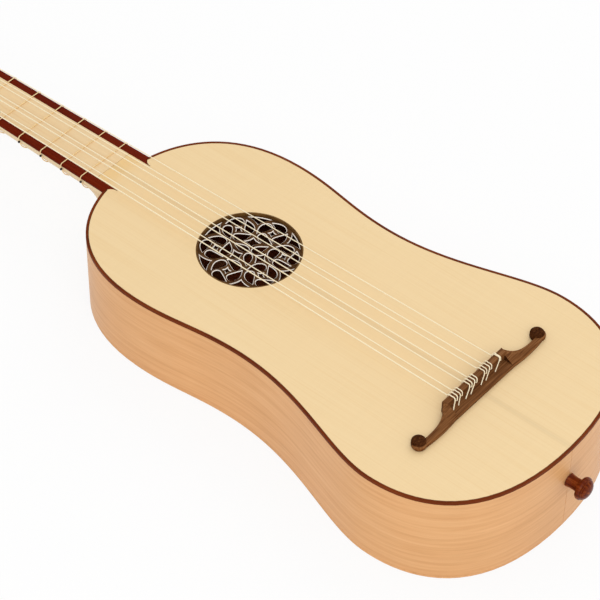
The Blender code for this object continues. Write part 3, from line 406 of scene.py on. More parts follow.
def tubePiece(name, points, radius, finish, body, nodes, resolution, matrix=layDown):
    data = bpy.data.curves.new(name, "CURVE")
    data.dimensions = "3D"
    data.bevel_depth = radius
    data.bevel_resolution = 4
    data.resolution_u = resolution
    data.use_fill_caps = True
    spline = data.splines.new("BEZIER")
    spline.bezier_points.add(len(points) - 1)
    for anchor, point in zip(spline.bezier_points, points):
        anchor.co = matrix @ Vector(point)
        anchor.handle_left_type = anchor.handle_right_type = "AUTO"
    data.materials.append(finishes[finish])
    piece = bpy.data.objects.new(name, data)
    scene.collection.objects.link(piece)
    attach(piece, body)
    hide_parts(*nodes)


# Body: outline, soundboard, binding, ribs and back
bodyShape = {
    "tailHandle": 0.822,
    "lowerWidth": 0.2219, "lowerShare": 0.216, "lowerHandles": (0.439, 0.256),
    "waistWidth": 0.1648, "waistShare": 0.5467, "waistHandles": (0.429, 0.411),
    "upperWidth": 0.1833, "upperShare": 0.774, "upperHandles": (0.380, 0.694),
    "shoulderWidth": 0.0448, "shoulderSlope": math.radians(11.5), "shoulderHandles": (0.450, 0.33),
    "bindingWidth": 0.0019, "ribThickness": 0.0020, "backThickness": 0.0022, "backRounding": 0.0009,
    "steps": 20,
    "tongueInset": 0.003,
}


def alongBody(share):
    return share * (guitar["tail"] + guitar["neckJoint"]) - guitar["tail"]


def outlineAnchors():
    tail = Vector((0, -guitar["tail"]))
    bouts = [Vector((bodyShape[bout + "Width"] / 2, alongBody(bodyShape[bout + "Share"])))
             for bout in ("lower", "waist", "upper")]
    shoulder = Vector((bodyShape["shoulderWidth"] / 2, guitar["neckJoint"]))
    treble = []
    names = ("lower", "waist", "upper")
    for bout, before, place, after in zip(names, [tail] + bouts, bouts, bouts[1:] + [shoulder]):
        back, ahead = bodyShape[bout + "Handles"]
        treble.append((place, Vector((0, -back * (place.y - before.y))),
                       Vector((0, ahead * (after.y - place.y)))))
    slope = bodyShape["shoulderSlope"]
    outward, inward = bodyShape["shoulderHandles"]
    reach = outward * (bouts[2].x - shoulder.x)
    treble.append((shoulder, Vector((math.cos(slope), -math.sin(slope))) * reach,
                   Vector((-inward * shoulder.x, 0))))
    sweep = Vector((bodyShape["tailHandle"] * bouts[0].x, 0))
    return [(tail, -sweep, sweep)] + treble + mirrorAnchors(treble)


def outlineFace(inset=0):
    bm = bmesh.new()
    curveEdges(bm, outlineAnchors(), bodyShape["steps"])
    face = bmesh.ops.contextual_create(bm, geom=bm.edges[:])["faces"][0]
    if face.normal.z < 0:
        face.normal_flip()
    if inset:
        bmesh.ops.inset_individual(bm, faces=[face], thickness=inset, use_even_offset=True)
    return bm, face


neckWidths = {"panel": (0.0354, 0.0304), "neck": (0.0500, 0.0420)}


def neckShare(y):
    return (y - guitar["neckJoint"]) / (guitar["stringLength"] - guitar["neckJoint"])


def panelHalfWidth(y):
    return between(*neckWidths["panel"], neckShare(y)) / 2


def neckHalfWidth(y):
    return between(*neckWidths["neck"], neckShare(y)) / 2


edgeStrips = {
    "pointReach": 0.0080, "rounding": 0.0010, "tongue": 0.0128, "steps": 14, "roundingSteps": 5,
    "pointBlend": 0.001,
    "cutDepth": 0.004, "cutBeyond": 0.003, "notch": (0.02, 0.01),
}
pointTip = guitar["neckJoint"] - edgeStrips["pointReach"]


def pointOutline(side, grow):
    # the curved point that runs into the soundboard, from its tip to beyond the body
    inner = panelHalfWidth(pointTip)
    outer = neckHalfWidth(pointTip)
    radius = outer - inner
    beyond = guitar["neckJoint"] + edgeStrips["tongue"] + 2 * gap
    line = [(panelHalfWidth(beyond) - grow, beyond), (inner - grow, pointTip - grow),
            (inner + grow, pointTip - grow)]
    for angle in quarterAngles(edgeStrips["steps"])[1:]:
        line.append((outer - (radius - grow) * math.cos(angle), pointTip + (radius - grow) * math.sin(angle)))
    end = outer + edgeStrips["cutBeyond"]
    line += [(end, pointTip + radius - grow), (end, beyond)]
    return [(side * x, y, -edgeStrips["cutDepth"]) for x, y in line]


def pointCutter(side):
    bm = bmesh.new()
    face = bm.faces.new([bm.verts.new(point) for point in pointOutline(side, gap)])
    raiseFace(bm, [face], 2 * edgeStrips["cutDepth"])
    return makeCutter(bm)


def makeSoundboard():
    bm, face = outlineFace(bodyShape["bindingWidth"] + gap)
    line = [vert.co.copy() for vert in face.verts]
    bm.free()
    frontLine = max(point.y for point in line) - 1e-5
    first = [index for index, point in enumerate(line) if point.y < frontLine < line[index - 1].y][0]
    line = [point for point in line[first:] + line[:first] if point.y < frontLine]
    tongueEnd = guitar["neckJoint"] + edgeStrips["tongue"]
    shoulder = neckHalfWidth(guitar["neckJoint"]) - bodyShape["tongueInset"]
    tongue = panelHalfWidth(tongueEnd)
    line += [(shoulder, frontLine, 0), (tongue, tongueEnd, 0), (-tongue, tongueEnd, 0),
             (-shoulder, frontLine, 0)]
    bm = bmesh.new()
    raiseFace(bm, [bm.faces.new([bm.verts.new(point) for point in line])], -guitar["boardThickness"])
    board = finishPiece("soundboard_top", bm, "spruce", "body", ["soundboard"])
    centre = (0, alongBody(rose["share"]), 0)
    hole = roundCutter([rose["radius"] + gap], rose["cutDepth"], centre, 128, upright=True)
    applyBooleans(board, [hole, pointCutter(1), pointCutter(-1)])


def makeBinding():
    bm, face = outlineFace(bodyShape["bindingWidth"])
    bmesh.ops.delete(bm, geom=[face], context="FACES_KEEP_BOUNDARY")
    raiseFace(bm, bm.faces[:], -guitar["boardThickness"])
    binding = finishPiece("soundboard_binding", bm, "bindingWood", "body", ["top_binding"])
    tongue = boxMesh((2 * panelHalfWidth(guitar["neckJoint"]), *edgeStrips["notch"]),
                     (0, guitar["neckJoint"], 0))
    applyBooleans(binding, [pointCutter(1), pointCutter(-1), makeCutter(tongue)])


def makeRib(name, side):
    bm, face = outlineFace()
    bmesh.ops.delete(bm, geom=[face], context="FACES_ONLY")
    # the rib runs from the neck block, which closes the joint between the ribs, to the seam at the tail
    blockHalf = bodyShape["shoulderWidth"] / 2 - 1e-6
    lost = [vert for vert in bm.verts
            if side * vert.co.x < -1e-6 or (vert.co.y > 0 and abs(vert.co.x) < blockHalf)]
    bmesh.ops.delete(bm, geom=lost, context="VERTS")
    for vert in bm.verts:
        vert.co.z = ribTop
        if abs(vert.co.x) < 1e-6:
            vert.co.x = side * gap / 2
    wall = bmesh.ops.extrude_edge_only(bm, edges=bm.edges[:])
    for vert in [part for part in wall["geom"] if isinstance(part, bmesh.types.BMVert)]:
        vert.co.z = backHeight(vert.co.y) + bodyShape["backThickness"] + gap
    bmesh.ops.recalc_face_normals(bm, faces=bm.faces)
    outward = sum(face.normal.dot(Vector((side, 0, 0))) * face.calc_area() for face in bm.faces)
    if outward < 0:
        bmesh.ops.reverse_faces(bm, faces=bm.faces)
    outerCorners = set(bm.verts)
    bmesh.ops.solidify(bm, geom=bm.faces[:], thickness=bodyShape["ribThickness"])
    # outer faces take the rib wood, inner faces the inside wood darkened as painted shade
    for face in bm.faces:
        face.material_index = 0 if outerCorners.intersection(face.verts) else 1
    return finishPiece(name, bm, ["ribWood", "insideWoodPaintedShade"], "body", [name.replace("_side", "")])


def makeBack():
    bm, face = outlineFace()
    raiseFace(bm, [face], bodyShape["backThickness"])
    for vert in bm.verts:
        vert.co.z += backHeight(vert.co.y)
    low = [edge for edge in bm.edges if not edge.is_contiguous or edge.calc_face_angle(0) > 1.0]
    bmesh.ops.bevel(bm, geom=low, affect="EDGES", offset=bodyShape["backRounding"], segments=3, profile=0.5,
                    material=-1, clamp_overlap=True)
    bm.normal_update()
    # the inner face takes the inside wood darkened as painted shade
    for face in bm.faces:
        face.material_index = 1 if face.normal.z > 0.9 else 0
    finishPiece("back_panel", bm, ["backWood", "insideWoodPaintedShade"], "body", ["back_plate"])


# Rose: a shallow cup set into the hole, its floor pierced with bevelled openings that show the pale wood
rose = {
    "radius": 0.0386, "share": 0.702, "lip": 0.0001, "ring": 0.0008, "floor": 0.0024, "thickness": 0.0016,
    "bevelDepth": 0.00050, "bevel": 0.00050, "curveScale": 0.00098, "resolution": 8, "rimSteps": 120,
    "diamondPlace": 0.0102, "diamondReach": (0.0052, 0.0065), "diamondHollow": 0.80,
    "starPlace": 0.0249, "starReach": (0.0039, 0.0037), "starHollow": 0.70, "starTurn": math.radians(27.5),
    "spandrelOuter": 0.0368, "spandrelInner": 0.0282, "spandrelAngles": (-0.270, 0.243, -0.014),
    "spandrelHollow": 0.55, "spandrelHandle": 0.66, "starHandle": 0.16, "sharpestCorner": 0.4,
    "cutDepth": 0.008,
}
# (place, handle before, handle after) in millimetres, the petal about the rose, the comma about its pinwheel
petalCurve = (((-0.5, 15.4), (1.7, -3.0), (-1.2, -2.6)), ((-3.6, 6.2), (0.0, 2.8), (0.0, -2.9)),
              ((0.2, 1.0), (-2.0, 0.0), (2.0, 0.0)), ((3.65, 5.6), (0.0, -2.6), (0.0, 2.8)))
commaCurve = (((-7.8, 8.7), (2.9, -1.6), (2.3, 1.7)), ((0.8, 12.3), (-3.2, 0.0), (3.2, 0.0)),
              ((7.0, 7.6), (0.0, 2.6), (0.0, -2.3)), ((3.6, 3.4), (1.8, 0.0), (-2.0, 0.0)))


def polar(radius, angle):
    return Vector((radius * math.cos(angle), radius * math.sin(angle), 0))


def turnedCurve(curve, place, turn):
    placing = Matrix.Rotation(turn, 3, "Z") * rose["curveScale"]
    point = lambda pair: placing @ Vector((*pair, 0))
    return [(place + point(at), point(before), point(after)) for at, before, after in curve]


def starCurve(centre, heading, reach, hollow):
    # four corners and the hollow sides between them
    tips = [polar(reach[corner % 2], heading + math.pi / 2 * corner) for corner in range(4)]
    anchors = []
    for tip, following in zip(tips, tips[1:] + tips[:1]):
        sweep = (following - tip) * rose["starHandle"]
        anchors.append((centre + tip, polar(0, 0), polar(0, 0)))
        anchors.append((centre + (tip + following) / 2 * hollow, -sweep, sweep))
    return anchors


def spandrelCurve(outer, inner, start, end, middle):
    left, right, tip = polar(outer, start), polar(outer, end), polar(inner, middle)
    bow = 4 / 3 * math.tan((end - start) / 4) * outer
    hollow = (left + right + tip) / 3

    def pull(first, second):
        bend = ((first + second) / 2).lerp(hollow, rose["spandrelHollow"])
        return (bend - first) * rose["spandrelHandle"]

    return [
        (left, pull(left, tip), polar(bow, start + math.pi / 2)),
        (right, -polar(bow, end + math.pi / 2), pull(right, tip)),
        (tip, pull(tip, right), pull(tip, left)),
    ]


def curvePoints(anchors):
    line = []
    for (start, before, after), (end, arriving, leaving) in zip(anchors, anchors[1:] + anchors[:1]):
        line += interpolate_bezier(start, start + after, end + arriving, end, rose["resolution"])[:-1]
    area = sum(first.cross(second).z for first, second in zip(line, line[1:] + line[:1]))
    return line if area > 0 else line[::-1]


def insetLine(line, distance):
    # each corner moves in by the same distance from both of its sides
    moved = []
    for before, place, after in zip(line[-1:] + line[:-1], line, line[1:] + line[:1]):
        arriving = (place - before).normalized()
        leaving = (after - place).normalized()
        both = arriving + leaving
        spread = max(rose["sharpestCorner"], 1 + arriving.dot(leaving))
        moved.append(place + Vector((-both.y, both.x, 0)) * distance / spread)
    return moved


def roseOpenings():
    # three diamonds and three petals in the middle,
    # then six pinwheels of four commas with spandrels between them
    openings = []
    for fold in range(3):
        turn = 2 * math.pi / 3 * fold
        openings.append(starCurve(polar(rose["diamondPlace"], turn + math.pi / 6), turn + math.pi / 6,
                                  rose["diamondReach"], rose["diamondHollow"]))
        openings.append(turnedCurve(petalCurve, polar(0, 0), turn))
    for fold in range(6):
        axis = math.pi / 3 * fold
        middle = axis + math.pi / 6
        centre = polar(rose["starPlace"], axis)
        openings.append(starCurve(centre, axis + rose["starTurn"], rose["starReach"], rose["starHollow"]))
        openings += [turnedCurve(commaCurve, centre, axis + math.pi / 2 * quarter) for quarter in range(4)]
        angles = [middle + angle for angle in rose["spandrelAngles"]]
        openings.append(spandrelCurve(rose["spandrelOuter"], rose["spandrelInner"], *angles))
    return [curvePoints(opening) for opening in openings]


def makeRose():
    bm = bmesh.new()
    floor = -rose["floor"]
    under = floor - rose["thickness"]
    centre = alongBody(rose["share"])

    def addLoop(line, height):
        return [bm.verts.new((point.x, point.y + centre, height)) for point in line]

    def joinLoops(first, second, material):
        for index in range(len(first)):
            face = bm.faces.new((first[index - 1], first[index], second[index], second[index - 1]))
            face.material_index = material

    def edgesOf(loops):
        return [bm.edges.get((loop[index - 1], loop[index])) for loop in loops for index in range(len(loop))]

    rim = [polar(rose["radius"], 2 * math.pi * step / rose["rimSteps"]) for step in range(rose["rimSteps"])]
    ring = insetLine(rim, rose["ring"])
    levels = [addLoop(rim, under), addLoop(rim, -rose["lip"]), addLoop(ring, -rose["lip"]),
              addLoop(ring, floor)]
    for first, second in zip(levels, levels[1:]):
        joinLoops(first, second, 2)
    tops, bottoms = [levels[-1]], [levels[0]]
    for line in roseOpenings():
        top = addLoop(line, floor)
        lip = addLoop(insetLine(line, rose["bevel"]), floor - rose["bevelDepth"])
        bottom = addLoop(line, under)
        joinLoops(top, lip, 1)
        joinLoops(lip, bottom, 0)
        tops.append(top)
        bottoms.append(bottom)
    for loops in (tops, bottoms):
        bmesh.ops.triangle_fill(bm, use_beauty=True, use_dissolve=False, edges=edgesOf(loops))
    finishPiece("rose_fretwork", bm, ["roseWood", "roseEdge", "roseRim"], "body", ["rose"],
                smoothAngle=30)


# Neck with its heel, fingerboard panel and dark edges, and the nut
neckShape = {
    "depthAtNut": 0.0145, "depthAtHeel": 0.0180, "heelLength": 0.0200, "heelAboveBack": 0.0034,
    "throatLength": 0.0200, "headThickness": 0.0110, "veneer": 0.0012, "sectionSteps": 40,
    "heelPower": 2.2, "squareAtNut": 4.5,
}
headFront = -(neckShape["veneer"] + gap)
headBack = headFront - neckShape["headThickness"]
neckStart = guitar["neckJoint"] + gap


def neckDepth(y):
    plain = between(neckShape["depthAtHeel"], neckShape["depthAtNut"], neckShare(y))
    heelDepth = guitar["depthAtNeck"] - neckShape["heelAboveBack"] + ribTop
    heelShare = max(0.0, (neckStart + neckShape["heelLength"] - y) / neckShape["heelLength"])
    throatShare = max(0.0, (y - nutRear + neckShape["throatLength"]) / neckShape["throatLength"])
    withHeel = between(plain, heelDepth, heelShare ** neckShape["heelPower"])
    return between(withHeel, ribTop - headBack, throatShare ** 2)


def neckSection(y, squareness, lean=0.0):
    half = neckHalfWidth(y)
    depth = neckDepth(y)
    power = 2.0 / squareness
    ring = []
    for step in range(neckShape["sectionSteps"] + 1):
        angle = math.pi * step / neckShape["sectionSteps"]
        across = math.copysign(abs(math.cos(angle)) ** power, math.cos(angle))
        z = ribTop - depth * abs(math.sin(angle)) ** power
        ring.append((half * across, y + z * lean, z))
    return ring


def makeNeck():
    heelEnd = neckStart + neckShape["heelLength"]
    plainEnd = nutRear - neckShape["throatLength"]
    rings = [neckSection(between(neckStart, heelEnd, share), 2.0)
             for share in (0, 0.05, 0.1, 0.16, 0.23, 0.3, 0.4, 0.5, 0.6, 0.72, 0.85, 1)]
    rings += [neckSection(between(heelEnd, plainEnd, share), 2.0) for share in (0.25, 0.5, 0.75, 1)]
    lean = math.tan(guitar["headTilt"])
    for share in (0.15, 0.3, 0.45, 0.6, 0.75, 0.9, 1):
        squareness = between(2.0, neckShape["squareAtNut"], share)
        rings.append(neckSection(between(plainEnd, nutRear, share), squareness, lean * share))
    bm = bmesh.new()
    ringLoft(bm, rings)
    finishPiece("neck_and_heel", bm, "neckWood", "body", ["neck"], smoothAngle=40)


def makePanel():
    start = guitar["neckJoint"] + edgeStrips["tongue"] + gap
    end = guitar["stringLength"] - gap
    bm = bmesh.new()
    corners = [bm.verts.new((side * (panelHalfWidth(y) - gap), y, -guitar["boardThickness"]))
               for side, y in ((1, start), (1, end), (-1, end), (-1, start))]
    raiseFace(bm, bmesh.ops.contextual_create(bm, geom=corners)["faces"], guitar["boardThickness"])
    finishPiece("fingerboard_panel", bm, "panelWood", "body", ["fingerboard"])


def makeEdge(name, side):
    inner = panelHalfWidth(pointTip)
    outer = neckHalfWidth(pointTip)
    radius = outer - inner
    stretches = [(guitar["stringLength"] - gap, neckHalfWidth(guitar["stringLength"] - gap))]
    straight = pointTip + radius + edgeStrips["pointBlend"]
    stretches.append((straight, neckHalfWidth(straight)))
    for angle in quarterAngles(edgeStrips["steps"])[:0:-1]:
        stretches.append((pointTip + radius * math.sin(angle), outer - radius * math.cos(angle)))
    stretches.append((pointTip, inner + gap / 2))
    rings = []
    for y, reach in stretches:
        start = panelHalfWidth(y)
        curve = min(edgeStrips["rounding"], (reach - start) / 3)
        ring = [(side * start, y, -guitar["boardThickness"]), (side * reach, y, -guitar["boardThickness"])]
        for angle in quarterAngles(edgeStrips["roundingSteps"]):
            ring.append((side * (reach - curve + curve * math.cos(angle)), y,
                         -curve + curve * math.sin(angle)))
        ring.append((side * start, y, 0))
        rings.append(ring)
    bm = bmesh.new()
    ringLoft(bm, rings)
    finishPiece(name, bm, "edgeWood", "body", ["fingerboard_" + name], smoothAngle=40)


nutShape = {
    "height": 0.0041, "rounding": 0.0008, "stringHeight": 0.0034, "slotLength": 0.01, "slotLift": 0.002,
    "places": (0.01845, 0.0096, 0.0060, -0.0026, -0.0062, -0.0148, -0.01845),
}


def makeNut():
    half = neckHalfWidth(guitar["stringLength"]) - gap
    middle = guitar["stringLength"] + guitar["nutThickness"] / 2
    bm = boxMesh((2 * half, guitar["nutThickness"], nutShape["height"] + guitar["boardThickness"]),
                 (0, middle, (nutShape["height"] - guitar["boardThickness"]) / 2))
    top = [edge for edge in bm.edges if all(vert.co.z > 0 for vert in edge.verts)]
    bmesh.ops.bevel(bm, geom=top, affect="EDGES", offset=nutShape["rounding"], segments=4, profile=0.5,
                    material=-1)
    nut = finishPiece("bone_nut", bm, "bone", "body", ["nut"])
    slots = []
    for radius, place in zip(strings["radii"], nutShape["places"]):
        slot = bmesh.new()
        bmesh.ops.create_cone(slot, cap_ends=True, segments=16, radius1=radius + gap / 2,
                              radius2=radius + gap / 2, depth=nutShape["slotLength"], matrix=Matrix.Rotation(math.pi / 2, 4, "X"))
        high = [vert for vert in slot.verts if vert.co.z > 1e-4]
        bmesh.ops.translate(slot, verts=high, vec=(0, 0, nutShape["slotLift"]))
        bmesh.ops.translate(slot, verts=slot.verts, vec=(place, middle, nutShape["stringHeight"]))
        slots.append(makeCutter(slot))
    applyBooleans(nut, slots)


# Bridge with its tie block, open shelf, swept wings and scroll knobs
bridge = {
    "blockHalf": 0.0323, "blockWidth": 0.0048, "blockHeight": 0.0115, "width": 0.0125,
    "shelfHalf": 0.0309, "shelfHeight": 0.0040, "scrollPlace": 0.0663, "scrollSetback": 0.0068,
    "scrollRadius": 0.0053, "scrollHeight": 0.0062, "scrollFoot": 0.92, "baseShift": 0.0010,
    "baseSlant": 0.87, "wingEndHeight": 0.0046, "wingEndWidth": 0.0042, "wingBulge": 0.0009,
    "wingOverlap": 0.3, "wingPower": 1.6, "fallPower": 4.2, "rounding": 0.0009,
    "roundingAngles": (0.4, 0.8, 1.2), "shelfEdge": 0.0003, "shelfOvercut": 0.002, "blockEnd": 0.0007,
    "baseStep": 0.00005, "stations": 30, "holeHeight": 0.0090, "holeDepth": 0.02,
    "places": (0.0245, 0.0139, 0.0083, -0.0026, -0.0082, -0.0189, -0.0245),
}


def makeScroll(height, place):
    # a knob, or the lower ledge of the wing that wraps it
    radius = bridge["scrollRadius"]
    bm = bmesh.new()
    base = gap + bridge["baseStep"] * (height == bridge["wingEndHeight"])
    foot = bridge["scrollFoot"] * radius
    spinProfile(bm, ((0, base), (foot, base), (radius, 0.25 * height), (radius, 0.68 * height),
                     (0.96 * radius, 0.84 * height), (0.86 * radius, 0.95 * height),
                     (0.70 * radius, height), (0, height)), 48)
    bmesh.ops.translate(bm, verts=bm.verts, vec=place)
    scroll = makeCutter(bm)
    scroll.data.materials.append(finishes["bridgeWood"])
    scroll.data.materials.append(finishes["scrollWood"])
    for face in scroll.data.polygons:
        face.material_index = 1 if height == bridge["scrollHeight"] else 0
    return scroll


def makeBridge():
    wingEnd = bridge["scrollPlace"] - bridge["wingOverlap"] * bridge["scrollRadius"]
    rearAtScroll = (-bridge["scrollSetback"] - bridge["baseSlant"] * bridge["baseShift"]
                    - bridge["scrollFoot"] * bridge["scrollRadius"])
    frontAtScroll = rearAtScroll + bridge["wingEndWidth"]
    half = []
    for step in range(bridge["stations"] + 1):
        share = (step / bridge["stations"]) ** bridge["wingPower"]
        fall = 1.0 - (1.0 - share) ** bridge["fallPower"]
        bulge = bridge["wingBulge"] * math.sin(math.pi * share)
        half.append((between(bridge["blockHalf"], wingEnd, share), between(0, frontAtScroll, fall),
                     between(-bridge["width"], rearAtScroll, share) - bulge,
                     between(bridge["blockHeight"], bridge["wingEndHeight"], fall),
                     between(bridge["shelfHeight"] + bridge["shelfEdge"], bridge["wingEndHeight"], share)))
    x, front, rear, top, low = half[0]
    half.insert(1, (x + bridge["blockEnd"], front, rear, top, low))
    rings = []
    order = range(len(half))
    angles = bridge["roundingAngles"]
    for index, side in [(index, -1) for index in reversed(order)] + [(index, 1) for index in order]:
        x, front, rear, top, low = half[index]
        curve = min(bridge["rounding"], (front - rear) / 4)
        step = between(front, rear, bridge["blockWidth"] / bridge["width"])
        slope = between(top, low, (front - curve - step) / (front - rear - 2 * curve))
        base = gap + 2 * bridge["baseStep"]
        ring = [(front, base), (front, top - curve)]
        ring += [(front - curve + curve * math.cos(a), top - curve + curve * math.sin(a)) for a in angles]
        ring += [(step + 0.00002, top if index == 0 else slope + 0.00001), (step, slope)]
        ring += [(rear + curve - curve * math.sin(a), low - curve + curve * math.cos(a)) for a in angles]
        ring += [(rear, low - curve), (rear, base)]
        rings.append([(side * x, y, z) for y, z in ring])
    bm = bmesh.new()
    ringLoft(bm, rings)
    body = finishPiece("tie_bridge", bm, ["bridgeWood", "scrollWood"], "body", ["bridge"])
    scrolls = []
    for side in (1, -1):
        place = Vector((side * bridge["scrollPlace"], -bridge["scrollSetback"], 0))
        scrolls.append(makeScroll(bridge["scrollHeight"], place))
        shift = Vector((side * 0.5, -math.sqrt(0.75), 0)) * bridge["baseShift"]
        scrolls.append(makeScroll(bridge["wingEndHeight"], place + shift))
    applyBooleans(body, scrolls, "UNION")
    shelfRear = bridge["width"] + bridge["shelfOvercut"]
    shelfCutter = makeCutter(boxMesh(
        (2 * bridge["shelfHalf"], shelfRear - bridge["blockWidth"], bridge["blockHeight"]),
        (0, -(shelfRear + bridge["blockWidth"]) / 2, bridge["shelfHeight"] + bridge["blockHeight"] / 2)))
    for each in ("bridgeWood", "scrollWood"):
        shelfCutter.data.materials.append(finishes[each])
    # the shelf's end walls take the dark scroll wood as painted shade
    for face in shelfCutter.data.polygons:
        face.material_index = 1 if abs(face.normal.x) > 0.9 else 0  # the shelf ends are painted dark with the scroll wood, as painted shade on these end walls
    cutters = [shelfCutter]
    for radius, place in zip(strings["radii"], bridge["places"]):
        hole = (place, -bridge["blockWidth"] / 2, bridge["holeHeight"])
        cutters.append(roundCutter([radius + gap], bridge["holeDepth"], hole, 20))
    applyBooleans(body, cutters)


# End button on the tail
button = {
    "depth": 0.0325, "stemRadius": 0.0048, "stemLength": 0.0094, "headRadius": 0.0087, "headLength": 0.0084,
    "shaftRadius": 0.0030, "shaftLength": 0.0150, "flange": 0.0004, "cutDepth": 0.03,
}


def makeButton():
    stem, head = button["stemRadius"], button["headRadius"]
    neckEnd = gap + button["stemLength"]
    end = neckEnd + button["headLength"]
    profile = [
        (0, -button["shaftLength"]), (button["shaftRadius"], -button["shaftLength"]),
        (button["shaftRadius"], gap),
        (stem * 1.06, gap), (stem * 1.04, gap + button["flange"]), (stem * 0.97, between(gap, neckEnd, 0.3)),
        (stem * 0.94, between(gap, neckEnd, 0.5)), (stem * 0.98, between(gap, neckEnd, 0.8)),
        (stem * 1.08, neckEnd),
    ]
    # shares of the head's radius and length, with the two grooves
    profile += [(head * wide, between(neckEnd, end, share)) for wide, share in (
        (0.80, 0.02), (0.92, 0.08), (0.985, 0.2), (1, 0.32), (0.985, 0.44), (0.94, 0.49),
        (0.84, 0.52), (0.875, 0.56), (0.87, 0.63), (0.78, 0.66), (0.80, 0.70), (0.72, 0.80),
        (0.56, 0.89), (0.34, 0.96), (0.12, 0.995), (0, 1),
    )]
    bm = bmesh.new()
    spinProfile(bm, profile, 48)
    bmesh.ops.rotate(bm, verts=bm.verts, matrix=Matrix.Rotation(math.pi / 2, 3, "X"))
    bmesh.ops.translate(bm, verts=bm.verts, vec=(0, -guitar["tail"], -button["depth"]))
    finishPiece("strap_button", bm, "buttonWood", "body", ["end_button"], smoothAngle=40)


# Head, veneer, pegs and the gut wound on them
head = {
    "length": 0.1440, "width": 0.0550, "waistWidth": 0.0496, "rounding": 0.0008,
    "firstPeg": 0.0300, "spacing": 0.0270, "offsets": (0.0194, 0.0169, 0.0160, 0.0160),
    "rows": (0, 1, 2, 3, 2, 1, 0),
}
peg = {
    "turns": (20.0, -35.0, 65.0, 10.0, 80.0, -15.0, 40.0), "postRadius": 0.0030, "postHeight": 0.0090,
    "frontRadius": 0.0034, "backRadius": 0.0039, "gripLength": 0.0240, "gripHalf": 0.0090, "gripThin": 0.0030,
    "collarReach": 0.0014, "holeRadius": 0.0006, "holeHeight": 0.0076, "holeDepth": 0.02,
    "stringHeight": 0.0019, "loops": 3, "coilGap": 0.0005, "sides": 28, "coilSteps": 16,
}


def pegPlace(index):
    row = head["rows"][index]
    side = 1 if index < 3 else -1
    return Vector((side * head["offsets"][row], head["firstPeg"] + head["spacing"] * row, 0))


def headOutline():
    start = Vector((neckHalfWidth(nutRear), gap))
    shoulder = Vector((head["width"] / 2, 0.19 * head["length"]))
    waist = Vector((head["waistWidth"] / 2, 0.62 * head["length"]))
    corner = Vector((0.96 * head["width"] / 2, 0.92 * head["length"]))
    top = Vector((0, head["length"]))
    rise = Vector((0, 0.08 * head["length"]))
    dip = Vector((0.35 * corner.x, 0))
    treble = [
        (start, Vector((-0.33 * start.x, 0)), rise), (shoulder, -rise, 2 * rise),
        (waist, -2 * rise, 2 * rise),
        (corner, -rise, -dip),
    ]
    return treble + [(top, 1.6 * dip, -1.6 * dip)] + mirrorAnchors(treble)


def headPlate(name, finish, node, low, high):
    bm = bmesh.new()
    curveEdges(bm, headOutline(), 12)
    bmesh.ops.translate(bm, verts=bm.verts, vec=(0, 0, low))
    raiseFace(bm, bmesh.ops.contextual_create(bm, geom=bm.edges[:])["faces"], high - low)
    outer = low if node == "head" else high
    rim = [edge for edge in bm.edges if all(abs(vert.co.z - outer) < 1e-6 for vert in edge.verts)]
    size = head["rounding"] if node == "head" else 0.3 * head["rounding"]
    bmesh.ops.bevel(bm, geom=rim, affect="EDGES", offset=size, segments=3, profile=0.5, material=-1)
    plate = finishPiece(name, bm, finish, "body", [node], headTurn)
    radii = [peg[end + "Radius"] + 1.2 * gap for end in ("back", "front")]
    middle = Vector((0, 0, headBack / 2))
    applyBooleans(plate, [roundCutter(radii, -headBack * 1.02, pegPlace(index) + middle, 32, headTurn, True)
                          for index in range(7)])


def pegStations():
    # round sections (height, radius) down to the collar,
    # then the flat grip (share of its length, width, thickness)
    wide, thin = peg["gripHalf"], peg["gripThin"]
    top, post = peg["postHeight"], peg["postRadius"]
    back, collar = peg["backRadius"], peg["backRadius"] + peg["collarReach"]
    turned = (
        (top, 0.5 * post), (top - 0.0002, 0.8 * post), (top - 0.0007, post), (0.0005, post),
        (0.0001, peg["frontRadius"]), (headBack, back), (headBack - gap, collar - 0.0003),
        (headBack - 0.0007, collar), (headBack - 0.0014, collar),
        (headBack - 0.0019, collar - 0.0004), (headBack - 0.0024, 0.8 * back),
    )
    grip = (
        (0.29, 0.42, 0.98), (0.36, 0.62, 1), (0.44, 0.80, 0.97), (0.52, 0.93, 0.93), (0.60, 0.99, 0.88),
        (0.68, 0.985, 0.82), (0.76, 0.90, 0.75), (0.84, 0.75, 0.67), (0.91, 0.54, 0.58), (0.96, 0.34, 0.48),
        (0.99, 0.18, 0.34), (1, 0.06, 0.14),
    )
    at = lambda share: between(headBack, headBack - peg["gripLength"], share)
    stations = [(height, radius, radius) for height, radius in turned]
    stations += [(headBack - 0.0036, 0.72 * back, 0.68 * back), (at(0.22), 0.95 * back, 0.72 * back)]
    return stations + [(at(share), width * wide, thickness * thin) for share, width, thickness in grip]


def makePeg(index):
    place = pegPlace(index)
    turn = headTurn @ Matrix.Translation(place) @ Matrix.Rotation(math.radians(peg["turns"][index]), 4, "Z")
    rings = []
    for height, halfX, halfY in pegStations():
        rings.append([(halfX * math.cos(a), halfY * math.sin(a), height)
                      for a in (2 * math.pi * side / peg["sides"] for side in range(peg["sides"]))])
    bm = bmesh.new()
    ringLoft(bm, rings)
    name = "tuning_peg_%d" % (index + 1)
    piece = finishPiece("thumb_" + name, bm, "pegWood", name, ["peg_%d" % (index + 1)], turn, 40)
    hole = roundCutter([peg["holeRadius"]], peg["holeDepth"], (0, 0, peg["holeHeight"]), 16, turn)
    applyBooleans(piece, [hole], smoothAngle=40)


def coilRadius(index):
    return peg["postRadius"] + gap + strings["radii"][index]


